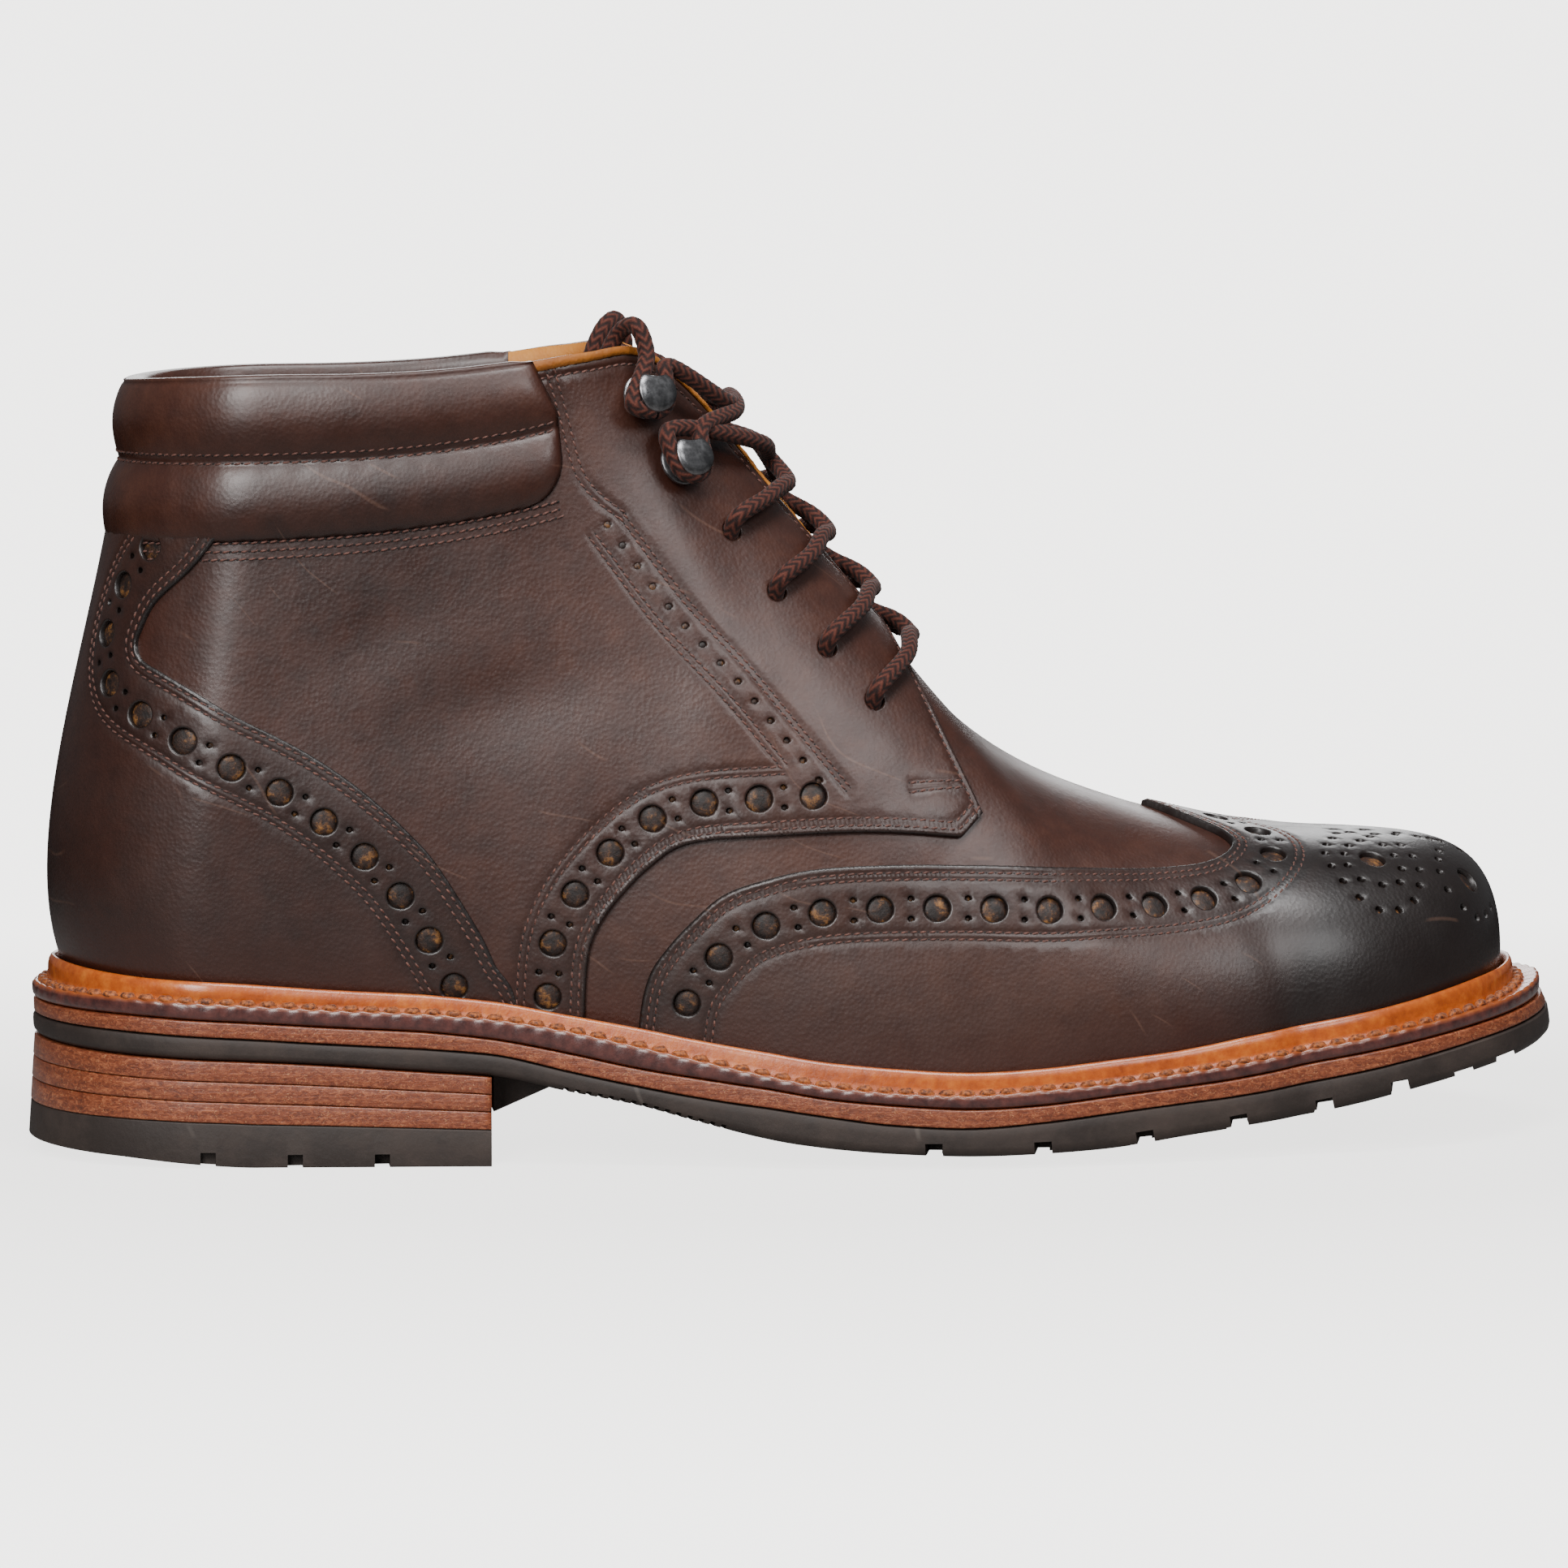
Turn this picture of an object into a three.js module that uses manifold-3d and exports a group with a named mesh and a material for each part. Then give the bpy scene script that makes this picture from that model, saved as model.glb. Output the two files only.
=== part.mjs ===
import * as THREE from 'three';
import { mergeVertices } from 'three/addons/utils/BufferGeometryUtils.js';
import Module from 'manifold-3d';

const wasm = await Module();
wasm.setup();

// Right brogue boot, millimetres. +X runs from heel to toe, the outer side of the foot is at -Y, and Z is
// up. The origin is the middle of the flat of the heel, on the ground.

// Driving dimensions of the last
const LAST_LENGTH = 297;
const HALF_BALL = 48.5;
const TOE_HEIGHT = 31;
const VAMP_RISE = 29.5;
const LEG_RISE = 94;
const TOE_SWING = 4;

// Walls and the clearance between pieces that meet
const UPPER_WALL = 2.4;
const OVERLAY_WALL = 1.2;
const COLLAR_WALL = 1.1;
const COLLAR_ROLL = 1.3;
const TONGUE_WALL = 2.2;
const INSOLE_THICKNESS = 3.2;
const CLEARANCE = 0.3;

// Sole, heel and tread
const WELT_REACH = 7.2;
const END_REACH = 2.7;
const WELT_RIDGE_WIDTH = 1.9;
const WELT_LEDGE = 1.2;
const HEEL_LENGTH = 94;
const HEEL_REST_X = 72;
const HEEL_LIFTS = 3;
const LIFTS_SHARE = 0.65;
const HEEL_BACK_FLARE = 1.3;
const TREAD_DEPTH = 2.6;
const GROOVE_WIDTH = 3.8;
const LUG_COUNT = 8;
const GROOVE_SLANT = 0.22;
const MIDDLE_GROOVE_LEAD = 8;
const CUTTER_HEIGHT = 14;
const TREAD_START = 180;
const TREAD_END = 300;
const HEEL_NOTCH_START = 20;
const HEEL_NOTCH_STEP = 17.2;
const HEEL_NOTCH_WIDTH = 3;
const HEEL_NOTCH_LENGTH = 18;
const HEEL_NOTCHES = 4;
const BREAST_RIB_LENGTH = 12.5;
const BREAST_RIB_DEPTH = 9;
const BREAST_RIB_HALF_WIDTH = 25;

// Lacing
const LACE_DIAMETER = 3.5;
const HOOK_PLATE_RADIUS = 4.6;
const HOOK_WIRE_RADIUS = 1.5;
const HOOK_PLATE_THICKNESS = 1.1;
const HOOK_CAP_RADIUS = 4.4;

// Distance from the back of the welt to the back of the last
const HEEL_X = 8.8;
const FEATHER_DROP = 1;
const RISE_STEPS = 8;
const OVERLAY_START = 0.02;
const THROAT_HALF_GAP = 2;
const TONGUE_CROWN = 0.8;
const TONGUE_GAP = 1.3;

// Sections of the upper. turn: heading of the section, -90 at the back of the heel, 90 at the tip of the
// toe. at and topAt: places of the foot and the top along the last. outer, inner, bellyOuter, bellyInner,
// shoulder and top: half widths, as shares of half the ball width. bellyUp and shoulderUp: shares of the
// section's height. climb: height of the top over the vamp, as a share of the leg's rise.
const SECTION_COLUMNS = ['turn', 'at', 'outer', 'inner', 'bellyOuter', 'bellyInner', 'bellyUp', 'topAt',
  'shoulder', 'shoulderUp', 'top', 'climb'];
const SECTIONS = [
  [-90, 0.1185, 0.64, 0.64, 0.984, 0.984, 0.22, 0.139, 0.536, 0.69, 0.547, 1.0],
  [-60, 0.1185, 0.625, 0.621, 0.93, 0.925, 0.22, 0.139, 0.545, 0.675, 0.575, 1.005],
  [-30, 0.1185, 0.6, 0.592, 0.85, 0.84, 0.225, 0.139, 0.56, 0.65, 0.62, 1.012],
  [0, 0.1185, 0.582, 0.572, 0.79, 0.78, 0.23, 0.139, 0.567, 0.63, 0.655, 1.018],
  [0, 0.206, 0.62, 0.57, 0.778, 0.765, 0.23, 0.199, 0.583, 0.63, 0.68, 1.02],
  [0, 0.29, 0.66, 0.55, 0.785, 0.75, 0.24, 0.253, 0.612, 0.64, 0.672, 1.028],
  [0, 0.368, 0.735, 0.55, 0.835, 0.75, 0.24, 0.304, 0.632, 0.66, 0.635, 1.045],
  [0, 0.442, 0.825, 0.622, 0.915, 0.812, 0.24, 0.351, 0.639, 0.7, 0.546, 1.068],
  [0, 0.502, 0.908, 0.725, 0.998, 0.895, 0.24, 0.391, 0.639, 0.76, 0.381, 1.072],
  [0, 0.556, 0.966, 0.818, 1.058, 0.975, 0.24, 0.432, 0.557, 0.86, 0.196, 0.97],
  [0, 0.61, 0.996, 0.89, 1.098, 1.036, 0.27, 0.482, 0.526, 0.91, 0.175, 0.775],
  [0, 0.661, 0.996, 0.95, 1.108, 1.077, 0.33, 0.531, 0.505, 0.94, 0.165, 0.58],
  [0, 0.704, 0.976, 0.976, 1.095, 1.098, 0.4, 0.573, 0.485, 0.97, 0.134, 0.415],
  [0, 0.738, 0.953, 0.981, 1.07, 1.095, 0.46, 0.613, 0.464, 0.995, 0, 0.27],
  [0, 0.772, 0.922, 0.969, 1.035, 1.08, 0.52, 0.664, 0.454, 1, 0, 0.16],
  [0, 0.805, 0.885, 0.944, 0.995, 1.05, 0.58, 0.728, 0.464, 1, 0, 0.08],
  [0, 0.839, 0.839, 0.903, 0.945, 1.005, 0.65, 0.789, 0.495, 1, 0, 0.03],
  [30, 0.839, 0.845, 0.882, 0.93, 0.965, 0.74, 0.829, 0.54, 1, 0, 0.002],
  [60, 0.839, 0.907, 0.92, 0.965, 0.98, 0.83, 0.853, 0.595, 1, 0, -0.005],
  [90, 0.839, 0.95, 0.95, 1.007, 1.007, 0.8825, 0.866, 0.634, 1, 0, -0.005],
];

// Heights along the edge of the sole, as shares of the toe height; at is the share of the last length from
// the back of the last. feather: where the upper meets the welt. ridge: top of the storm ridge. welt, mid,
// rubber and under: tops of the welt, midsole and rubber, and the underside of the rubber at its edge.
// tread: its underside in the middle.
const PROFILE_COLUMNS = ['at', 'feather', 'ridge', 'welt', 'mid', 'rubber', 'under', 'tread'];
const PROFILE = [
  [-0.03, 1.09, 1.29, 1.09, 0.985, 0.885, 0.76, 0.76],
  [0.04, 1.08, 1.22, 1.085, 0.973, 0.864, 0.723, 0.723],
  [0.105, 1.05, 1.187, 1.055, 0.939, 0.83, 0.695, 0.695],
  [0.172, 1.02, 1.138, 1.017, 0.9, 0.79, 0.662, 0.662],
  [0.24, 0.985, 1.1, 0.987, 0.865, 0.753, 0.616, 0.616],
  [0.29, 0.94, 1.048, 0.945, 0.81, 0.709, 0.578, 0.578],
  [0.334, 0.873, 0.97, 0.877, 0.73, 0.612, 0.486, 0.44],
  [0.381, 0.782, 0.89, 0.781, 0.635, 0.518, 0.4, 0.33],
  [0.425, 0.685, 0.807, 0.686, 0.568, 0.442, 0.287, 0.22],
  [0.469, 0.6, 0.736, 0.597, 0.508, 0.384, 0.186, 0.1],
  [0.505, 0.54, 0.68, 0.534, 0.45, 0.334, 0.135, 0.03],
  [0.545, 0.495, 0.643, 0.499, 0.414, 0.285, 0.103, 0],
  [0.6, 0.476, 0.612, 0.477, 0.384, 0.258, 0.082, 0],
  [0.65, 0.5, 0.63, 0.503, 0.402, 0.288, 0.09, 0.004],
  [0.7, 0.54, 0.675, 0.535, 0.45, 0.338, 0.116, 0.03],
  [0.745, 0.586, 0.718, 0.585, 0.49, 0.38, 0.17, 0.085],
  [0.789, 0.636, 0.785, 0.633, 0.535, 0.418, 0.22, 0.145],
  [0.846, 0.718, 0.868, 0.714, 0.618, 0.494, 0.29, 0.225],
  [0.903, 0.805, 0.955, 0.8, 0.7, 0.585, 0.393, 0.335],
  [0.967, 0.91, 1.07, 0.9, 0.798, 0.7, 0.51, 0.465],
  [1.035, 1.015, 1.153, 1.02, 0.898, 0.808, 0.622, 0.622],
];

// Heights of the underside of the lifts, and of the heel's foot, at the same stations
const HEEL_COLUMNS = ['at', 'lift', 'ground'];
const HEEL_PROFILE = [
  [-0.03, 0.316, 0.09],
  [0.04, 0.31, 0.062],
  [0.08, 0.3, 0.03],
  [0.125, 0.28, 0],
  [0.29, 0.236, 0],
];

// Side views of the overlays: along is the share of the last length, up the share of the leg's rise.
const WING_EDGE = [
  [0.381, 0.1], [0.384, 0.299], [0.39, 0.398], [0.402, 0.459], [0.418, 0.515], [0.439, 0.573],
  [0.466, 0.605], [0.497, 0.626], [0.541, 0.633], [0.596, 0.631], [0.662, 0.616], [0.721, 0.6],
  [0.758, 0.599], [0.776, 0.604], [0.789, 0.615], [0.797, 0.631], [0.795, 0.645], [0.785, 0.662],
  [0.752, 0.702], [0.713, 0.745],
];
const COUNTER_EDGE = [
  [0.308, 0.1], [0.303, 0.341], [0.289, 0.422], [0.278, 0.494], [0.25, 0.636], [0.232, 0.702], [0.213, 0.76],
  [0.192, 0.815], [0.167, 0.869], [0.143, 0.911], [0.116, 0.954], [0.091, 1.003], [0.069, 1.043],
  [0.057, 1.067], [0.054, 1.097], [0.057, 1.129], [0.067, 1.19], [0.09, 1.262],
];
const FACING_REAR = [
  [0.324, 1.72], [0.327, 1.68], [0.34, 1.6], [0.346, 1.5], [0.346, 1.405], [0.494, 0.812],
  [0.455, 0.809], [0.418, 0.782], [0.369, 0.731], [0.331, 0.612], [0.317, 0.526], [0.309, 0.438],
  [0.312, 0.344], [0.312, 0.1],
];
const FACING_FRONT = [
  [0.348, 0.1], [0.348, 0.317], [0.35, 0.438], [0.356, 0.5], [0.369, 0.561], [0.391, 0.633],
  [0.417, 0.682], [0.471, 0.697], [0.542, 0.702], [0.6, 0.688], [0.615, 0.734], [0.602, 0.822],
  [0.591, 0.897], [0.58, 0.972],
];
const COLLAR_REACH = 6.55;
const COLLAR_CORNER = 0.5;
const COLLAR_BACK = 1.312;
const COLLAR_FRONT_LIFT = 0.096;

// Places on the facings, by section and by share of the way up it
const EYELETS = [
  { section: 8.92, up: 0.734 },
  { section: 9.32, up: 0.671 },
  { section: 9.81, up: 0.628 },
  { section: 10.25, up: 0.581 },
];
const EDGE_CROSSINGS = [10.05, 10.6, 11.27, 11.92];
const BAR_COURSE = [
  { rise: 0.35, run: 0.53 },
  { rise: 0.7, run: 0.84 },
];
const HOOKS = [
  { section: 7.87, up: 0.912 },
  { section: 8.28, up: 0.815 },
];
const TONGUE_TOP = 7.9;
const TONGUE_FOOT = 13.8;
const TONGUE_WRAP = 0.78;

const LATERAL = -1;
const MEDIAL = 1;
const LAST_SECTION = SECTIONS.length - 1;

// Smooth curve through a table's rows, at a place between two of them
function between(rows, place) {
  const last = rows.length - 1;
  const spot = Math.min(Math.max(place, 0), last - 1e-9);
  const i = Math.floor(spot);
  const f = spot - i;
  return rows[i].map((value, k) => {
    const next = rows[i + 1][k];
    const before = i > 0 ? rows[i - 1][k] : 2 * value - next;
    const after = i + 2 <= last ? rows[i + 2][k] : 2 * next - value;
    const a = next - before;
    const b = 2 * before - 5 * value + 4 * next - after;
    const c = 3 * value - before - 3 * next + after;
    return value + 0.5 * f * (a + f * (b + f * c));
  });
}

function tableAt(table, columns, x) {
  const at = (x - HEEL_X) / LAST_LENGTH;
  let i = 0;
  while (i < table.length - 2 && table[i + 1][0] <= at) i += 1;
  const part = (at - table[i][0]) / (table[i + 1][0] - table[i][0]);
  const values = between(table, Math.min(Math.max(i + part, 0), table.length - 1));
  return Object.fromEntries(columns.map((name, k) => [name, values[k] * TOE_HEIGHT]));
}

const profileAt = (x) => tableAt(PROFILE, PROFILE_COLUMNS, x);
const heelAt = (x) => tableAt(HEEL_PROFILE, HEEL_COLUMNS, x);
const groundAt = (x) => Math.max(heelAt(x).ground, 0);
const treadAt = (x) => Math.max(profileAt(x).tread, 0);

function sectionAt(place) {
  const values = between(SECTIONS, place);
  return Object.fromEntries(SECTION_COLUMNS.map((name, k) => [name, values[k]]));
}

// The last turns towards the inner side from the arch to the toe
function toeSwing(x) {
  const share = THREE.MathUtils.clamp(((x - HEEL_X) / LAST_LENGTH - 0.375) / 0.605, 0, 1);
  return TOE_SWING * share * share * (3 - 2 * share);
}

// A point of the upper's outside: up runs from 0 at the welt to 1 at the collar, throat or ridge
function upperPoint(place, up, side) {
  const s = sectionAt(place);
  const heading = THREE.MathUtils.degToRad(s.turn);
  const dx = Math.sin(heading);
  const dy = side * Math.cos(heading);
  const foot = (side === LATERAL ? s.outer : s.inner) * HALF_BALL;
  const belly = (side === LATERAL ? s.bellyOuter : s.bellyInner) * HALF_BALL;
  const shoulder = s.shoulder * HALF_BALL;
  const top = Math.max(s.top, 0) * HALF_BALL;
  const footX = HEEL_X + LAST_LENGTH * s.at;
  const topX = HEEL_X + LAST_LENGTH * s.topAt;
  const low = profileAt(footX + dx * foot).feather - FEATHER_DROP;
  const high = TOE_HEIGHT + VAMP_RISE + LEG_RISE * s.climb;
  const curve = new THREE.CubicBezierCurve3(
    new THREE.Vector3(footX + dx * foot, dy * foot, low),
    new THREE.Vector3(footX + dx * belly, dy * belly, low + (high - low) * s.bellyUp),
    new THREE.Vector3(topX + dx * shoulder, dy * shoulder, low + (high - low) * s.shoulderUp),
    new THREE.Vector3(topX + dx * top, dy * top, high),
  );
  const point = curve.getPoint(up);
  point.y += toeSwing(point.x);
  return point;
}

// Share of the way up a section where it reaches a height
function upAtHeight(place, side, height) {
  let low = 0;
  let high = 1;
  while (high - low > 1e-4) {
    const middle = (low + high) / 2;
    if (upperPoint(place, middle, side).z < height) low = middle;
    else high = middle;
  }
  return (low + high) / 2;
}

function upperNormal(place, up, side) {
  const step = 0.01;
  const a = Math.min(place, LAST_SECTION - 2 * step);
  const b = Math.min(up, 1 - 2 * step);
  const here = upperPoint(a, b, side);
  const along = upperPoint(a + step, b, side).sub(here);
  const rise = upperPoint(a, b + step, side).sub(here);
  return side === LATERAL ? along.cross(rise).normalize() : rise.cross(along).normalize();
}

function upperOffset(place, up, side, out) {
  return upperPoint(place, up, side).addScaledVector(upperNormal(place, up, side), out);
}

// A list of points in threes becomes one geometry, with its shared points joined
function weld(triangles) {
  const flat = new Float32Array(triangles.length * 3);
  triangles.forEach((p, i) => p.toArray(flat, i * 3));
  const loose = new THREE.BufferGeometry();
  loose.setAttribute('position', new THREE.BufferAttribute(flat, 3));
  const joined = mergeVertices(loose, 1e-3);
  const index = joined.getIndex().array;
  const kept = [];
  for (let i = 0; i < index.length; i += 3) {
    const corners = [index[i], index[i + 1], index[i + 2]];
    if (new Set(corners).size === 3) kept.push(...corners);
  }
  joined.setIndex(kept);
  return joined;
}

function fromTriangles(triangles) {
  return outward(weld(triangles));
}

function signedVolume(geometry) {
  const index = geometry.getIndex().array;
  const position = geometry.getAttribute('position');
  const [a, b, c] = [new THREE.Vector3(), new THREE.Vector3(), new THREE.Vector3()];
  let total = 0;
  for (let i = 0; i < index.length; i += 3) {
    a.fromBufferAttribute(position, index[i]);
    b.fromBufferAttribute(position, index[i + 1]);
    c.fromBufferAttribute(position, index[i + 2]);
    total += a.dot(b.cross(c)) / 6;
  }
  return total;
}

function outward(geometry) {
  if (signedVolume(geometry) < 0) {
    const index = geometry.getIndex();
    for (let i = 0; i < index.count; i += 3) {
      const held = index.getX(i);
      index.setX(i, index.getX(i + 1));
      index.setX(i + 1, held);
    }
  }
  return geometry;
}

function bare(geometry) {
  const copy = geometry.clone();
  for (const name of Object.keys(copy.attributes)) {
    if (name !== 'position') copy.deleteAttribute(name);
  }
  return mergeVertices(copy, 1e-4);
}

function toSolid(geometry) {
  const clean = bare(geometry);
  return new wasm.Manifold(new wasm.Mesh({
    numProp: 3,
    vertProperties: new Float32Array(clean.getAttribute('position').array),
    triVerts: new Uint32Array(clean.getIndex().array),
  }));
}

function fromSolid(solid) {
  const mesh = solid.getMesh();
  const geometry = new THREE.BufferGeometry();
  geometry.setAttribute('position', new THREE.BufferAttribute(new Float32Array(mesh.vertProperties), 3));
  geometry.setIndex([...mesh.triVerts]);
  return geometry;
}

// An open sheet of joined triangles becomes a wall from inner to outer along its own normals
function thicken(sheet, inner, outer) {
  sheet.computeVertexNormals();
  const position = sheet.getAttribute('position');
  const normal = sheet.getAttribute('normal');
  const index = sheet.getIndex().array;
  const move = (i, out) => new THREE.Vector3().fromBufferAttribute(position, i)
    .addScaledVector(new THREE.Vector3().fromBufferAttribute(normal, i), out);
  const edges = new Map();
  const triangles = [];
  for (let i = 0; i < index.length; i += 3) {
    const corners = [index[i], index[i + 1], index[i + 2]];
    triangles.push(...corners.map((k) => move(k, outer)));
    triangles.push(...[...corners].reverse().map((k) => move(k, inner)));
    corners.forEach((a, k) => {
      const b = corners[(k + 1) % 3];
      if (edges.has(`${b},${a}`)) edges.delete(`${b},${a}`);
      else edges.set(`${a},${b}`, [a, b]);
    });
  }
  for (const [a, b] of edges.values()) {
    triangles.push(move(b, outer), move(a, outer), move(a, inner));
    triangles.push(move(b, outer), move(a, inner), move(b, inner));
  }
  return fromTriangles(triangles);
}

function quad(a, b, c, d) {
  return [a, b, c, a, c, d];
}

// Places of the sections' stations: more of them round the toe and the heel
function stations(first, last) {
  const places = [];
  for (let place = first; place < last - 1e-6;) {
    places.push(place);
    const perGap = place >= 16 ? 3 : place >= 3 && place < 9 ? 1 : 2;
    place = Math.min((Math.floor(place * perGap + 1e-6) + 1) / perGap, last);
  }
  places.push(last);
  return places;
}

// The whole outside of the upper as one open sheet, both sides welded at the heel and along the ridge
function upperSheet(from = 0) {
  const triangles = [];
  const places = stations(0, LAST_SECTION);
  for (const side of [LATERAL, MEDIAL]) {
    for (let i = 0; i + 1 < places.length; i += 1) {
      for (let j = 0; j < RISE_STEPS; j += 1) {
        const low = from + ((1 - from) * j) / RISE_STEPS;
        const high = from + ((1 - from) * (j + 1)) / RISE_STEPS;
        const a = upperPoint(places[i], low, side);
        const b = upperPoint(places[i + 1], low, side);
        const c = upperPoint(places[i + 1], high, side);
        const d = upperPoint(places[i], high, side);
        triangles.push(...(side === LATERAL ? quad(a, b, c, d) : quad(d, c, b, a)));
      }
    }
  }
  return weld(triangles);
}

// A closed body through loops of points that all have as many corners, ends filled where they are open
function loft(loops, closed = false) {
  const triangles = [];
  const count = loops[0].length;
  const spans = closed ? loops.length : loops.length - 1;
  for (let i = 0; i < spans; i += 1) {
    const here = loops[i];
    const next = loops[(i + 1) % loops.length];
    for (let k = 0; k < count; k += 1) {
      const m = (k + 1) % count;
      triangles.push(...quad(here[k], next[k], next[m], here[m]));
    }
  }
  if (!closed) {
    const middle = (loop) => loop.reduce((sum, p) => sum.add(p), new THREE.Vector3()).divideScalar(count);
    const first = middle(loops[0]);
    const last = middle(loops[loops.length - 1]);
    for (let k = 0; k < count; k += 1) {
      const m = (k + 1) % count;
      if (loops[0].some((p) => p.distanceTo(loops[0][0]) > 1 && Math.abs(p.y - loops[0][0].y) > 1e-3)) {
        triangles.push(first, loops[0][k], loops[0][m]);
      }
      const end = loops[loops.length - 1];
      if (end.some((p) => Math.abs(p.y - end[0].y) > 1e-3)) triangles.push(last, end[m], end[k]);
    }
  }
  return fromTriangles(triangles);
}

// A point of the foot's outline, moved out from it in plan
function outlinePoint(place, side, reach) {
  const step = 0.02;
  const foot = (spot) => {
    const s = sectionAt(spot);
    const heading = THREE.MathUtils.degToRad(s.turn);
    const half = (side === LATERAL ? s.outer : s.inner) * HALF_BALL;
    const x = HEEL_X + LAST_LENGTH * s.at + Math.sin(heading) * half;
    return new THREE.Vector2(x, side * Math.cos(heading) * half + toeSwing(x));
  };
  const here = foot(place);
  if (place < step) return new THREE.Vector2(here.x - reach, toeSwing(here.x));
  if (place > LAST_SECTION - step) return new THREE.Vector2(here.x + reach, toeSwing(here.x));
  const along = foot(place + step).sub(foot(place - step)).normalize();
  return here.add(new THREE.Vector2(-side * along.y, side * along.x).multiplyScalar(reach));
}

// A layer of the sole: sides lists its edge from the bottom up as { reach, height(x) }, and crown holds the
// places across its underside, as shares of the half width, with the height of each
function slab(sides, crown = [], first = 0, last = LAST_SECTION) {
  const loops = stations(first, last).map((place) => {
    const sidePoints = (side) => sides.map(({ reach, height }) => {
      const p = outlinePoint(place, side, typeof reach === 'function' ? reach(place) : reach);
      return new THREE.Vector3(p.x, p.y, height(p.x));
    });
    const lateral = sidePoints(LATERAL);
    const medial = sidePoints(MEDIAL);
    const across = crown.map(({ share, height }) => {
      const p = lateral[0].clone().lerp(medial[0], 0.5 + share / 2);
      return p.setZ(height(p.x));
    });
    return [...lateral.reverse(), ...across, ...medial];
  });
  return loft(loops);
}

// A strip all the way round, such as the welt: section lists { reach, height(x) } round the strip
function ring(section) {
  const places = stations(0, LAST_SECTION);
  const walk = [
    ...places.map((place) => [place, LATERAL]),
    ...places.slice(1, -1).reverse().map((place) => [place, MEDIAL]),
  ];
  return loft(walk.map(([place, side]) => section.map(({ reach, height }) => {
    const out = typeof reach === 'function' ? reach(place, side) : reach;
    const p = outlinePoint(place, side, out);
    return new THREE.Vector3(p.x, p.y, height(p.x));
  })), true);
}

const shelf = (name, shift = 0) => (x) => profileAt(x)[name] + shift;

// Reach of the sole's edge from the foot's outline: more at the heel and the toe, where the upper overhangs
function edge(shift = 0, toeFlare = 0) {
  return (place) => {
    const heading = THREE.MathUtils.degToRad(sectionAt(place).turn);
    const end = Math.sin(heading) ** 2;
    return WELT_REACH + END_REACH * end + shift + (heading > 0 ? toeFlare * end : 0);
  };
}

// How far the upper leans out, from its foot to the height of the storm ridge
function leanAtRidge(place, side) {
  const foot = upperPoint(place, 0, side);
  const there = upperPoint(place, upAtHeight(place, side, profileAt(foot.x).ridge), side);
  return Math.hypot(there.x - foot.x, there.y - foot.y);
}

function weltShape() {
  const seat = shelf('feather', -FEATHER_DROP - CLEARANCE);
  const skirt = OVERLAY_WALL + 2 * CLEARANCE;
  const inside = (place, side) => skirt + CLEARANCE + leanAtRidge(place, side);
  return ring([
    { reach: edge(-0.2, 0.4), height: shelf('mid', CLEARANCE) },
    { reach: edge(0, 0.3), height: (x) => (profileAt(x).mid + profileAt(x).welt) / 2 },
    { reach: edge(-0.4), height: shelf('welt') },
    { reach: (place, side) => inside(place, side) + WELT_RIDGE_WIDTH, height: shelf('welt', 0.3) },
    { reach: (place, side) => inside(place, side) + WELT_RIDGE_WIDTH * 0.5, height: shelf('ridge') },
    { reach: inside, height: shelf('ridge', -0.3) },
    { reach: skirt, height: seat },
    { reach: -UPPER_WALL - WELT_LEDGE, height: seat },
    { reach: -UPPER_WALL - WELT_LEDGE, height: shelf('mid', CLEARANCE) },
  ]);
}

function midsoleShape() {
  return slab([
    { reach: edge(-0.2, 1.6), height: shelf('rubber', CLEARANCE) },
    { reach: edge(-0.2, 0.8), height: shelf('mid') },
  ]);
}

function insoleShape() {
  const reach = -UPPER_WALL - WELT_LEDGE - CLEARANCE;
  return slab([
    { reach, height: shelf('mid', CLEARANCE) },
    { reach, height: shelf('mid', CLEARANCE + INSOLE_THICKNESS) },
  ]);
}

function box(width, depth, height, x, y, z, turn, pitch) {
  const shape = new THREE.BoxGeometry(width, depth, height);
  shape.translate(0, 0, -height / 2);
  shape.rotateY(pitch);
  shape.rotateZ(turn);
  shape.translate(x, y, z);
  return shape;
}

// Grooves that part the lugs: one from each edge, and a short one across the middle ahead of each pair
function treadGrooves() {
  const cutters = [];
  for (let i = 0; i < LUG_COUNT; i += 1) {
    const share = 1 - (1 - i / (LUG_COUNT - 1)) ** 1.3;
    const x = TREAD_START + (TREAD_END - TREAD_START) * share;
    const slope = Math.atan2(profileAt(x + 5).tread - profileAt(x - 5).tread, 10);
    const top = treadAt(x) + TREAD_DEPTH;
    const toe = (x - TREAD_START) / (LAST_LENGTH * 1.08 - TREAD_START);
    const half = HALF_BALL * Math.sqrt(1 - toe ** 4);
    for (const side of [LATERAL, MEDIAL]) {
      const y = side * half + toeSwing(x);
      cutters.push(box(GROOVE_WIDTH, half * 0.9, CUTTER_HEIGHT, x, y, top, side * GROOVE_SLANT, -slope));
    }
    if (i < LUG_COUNT - 1) {
      const middle = x + MIDDLE_GROOVE_LEAD;
      const y = toeSwing(x);
      cutters.push(box(GROOVE_WIDTH * 0.8, half * 0.6, CUTTER_HEIGHT, middle, y, top - 0.6, 0, -slope));
    }
  }
  return cutters;
}

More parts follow.
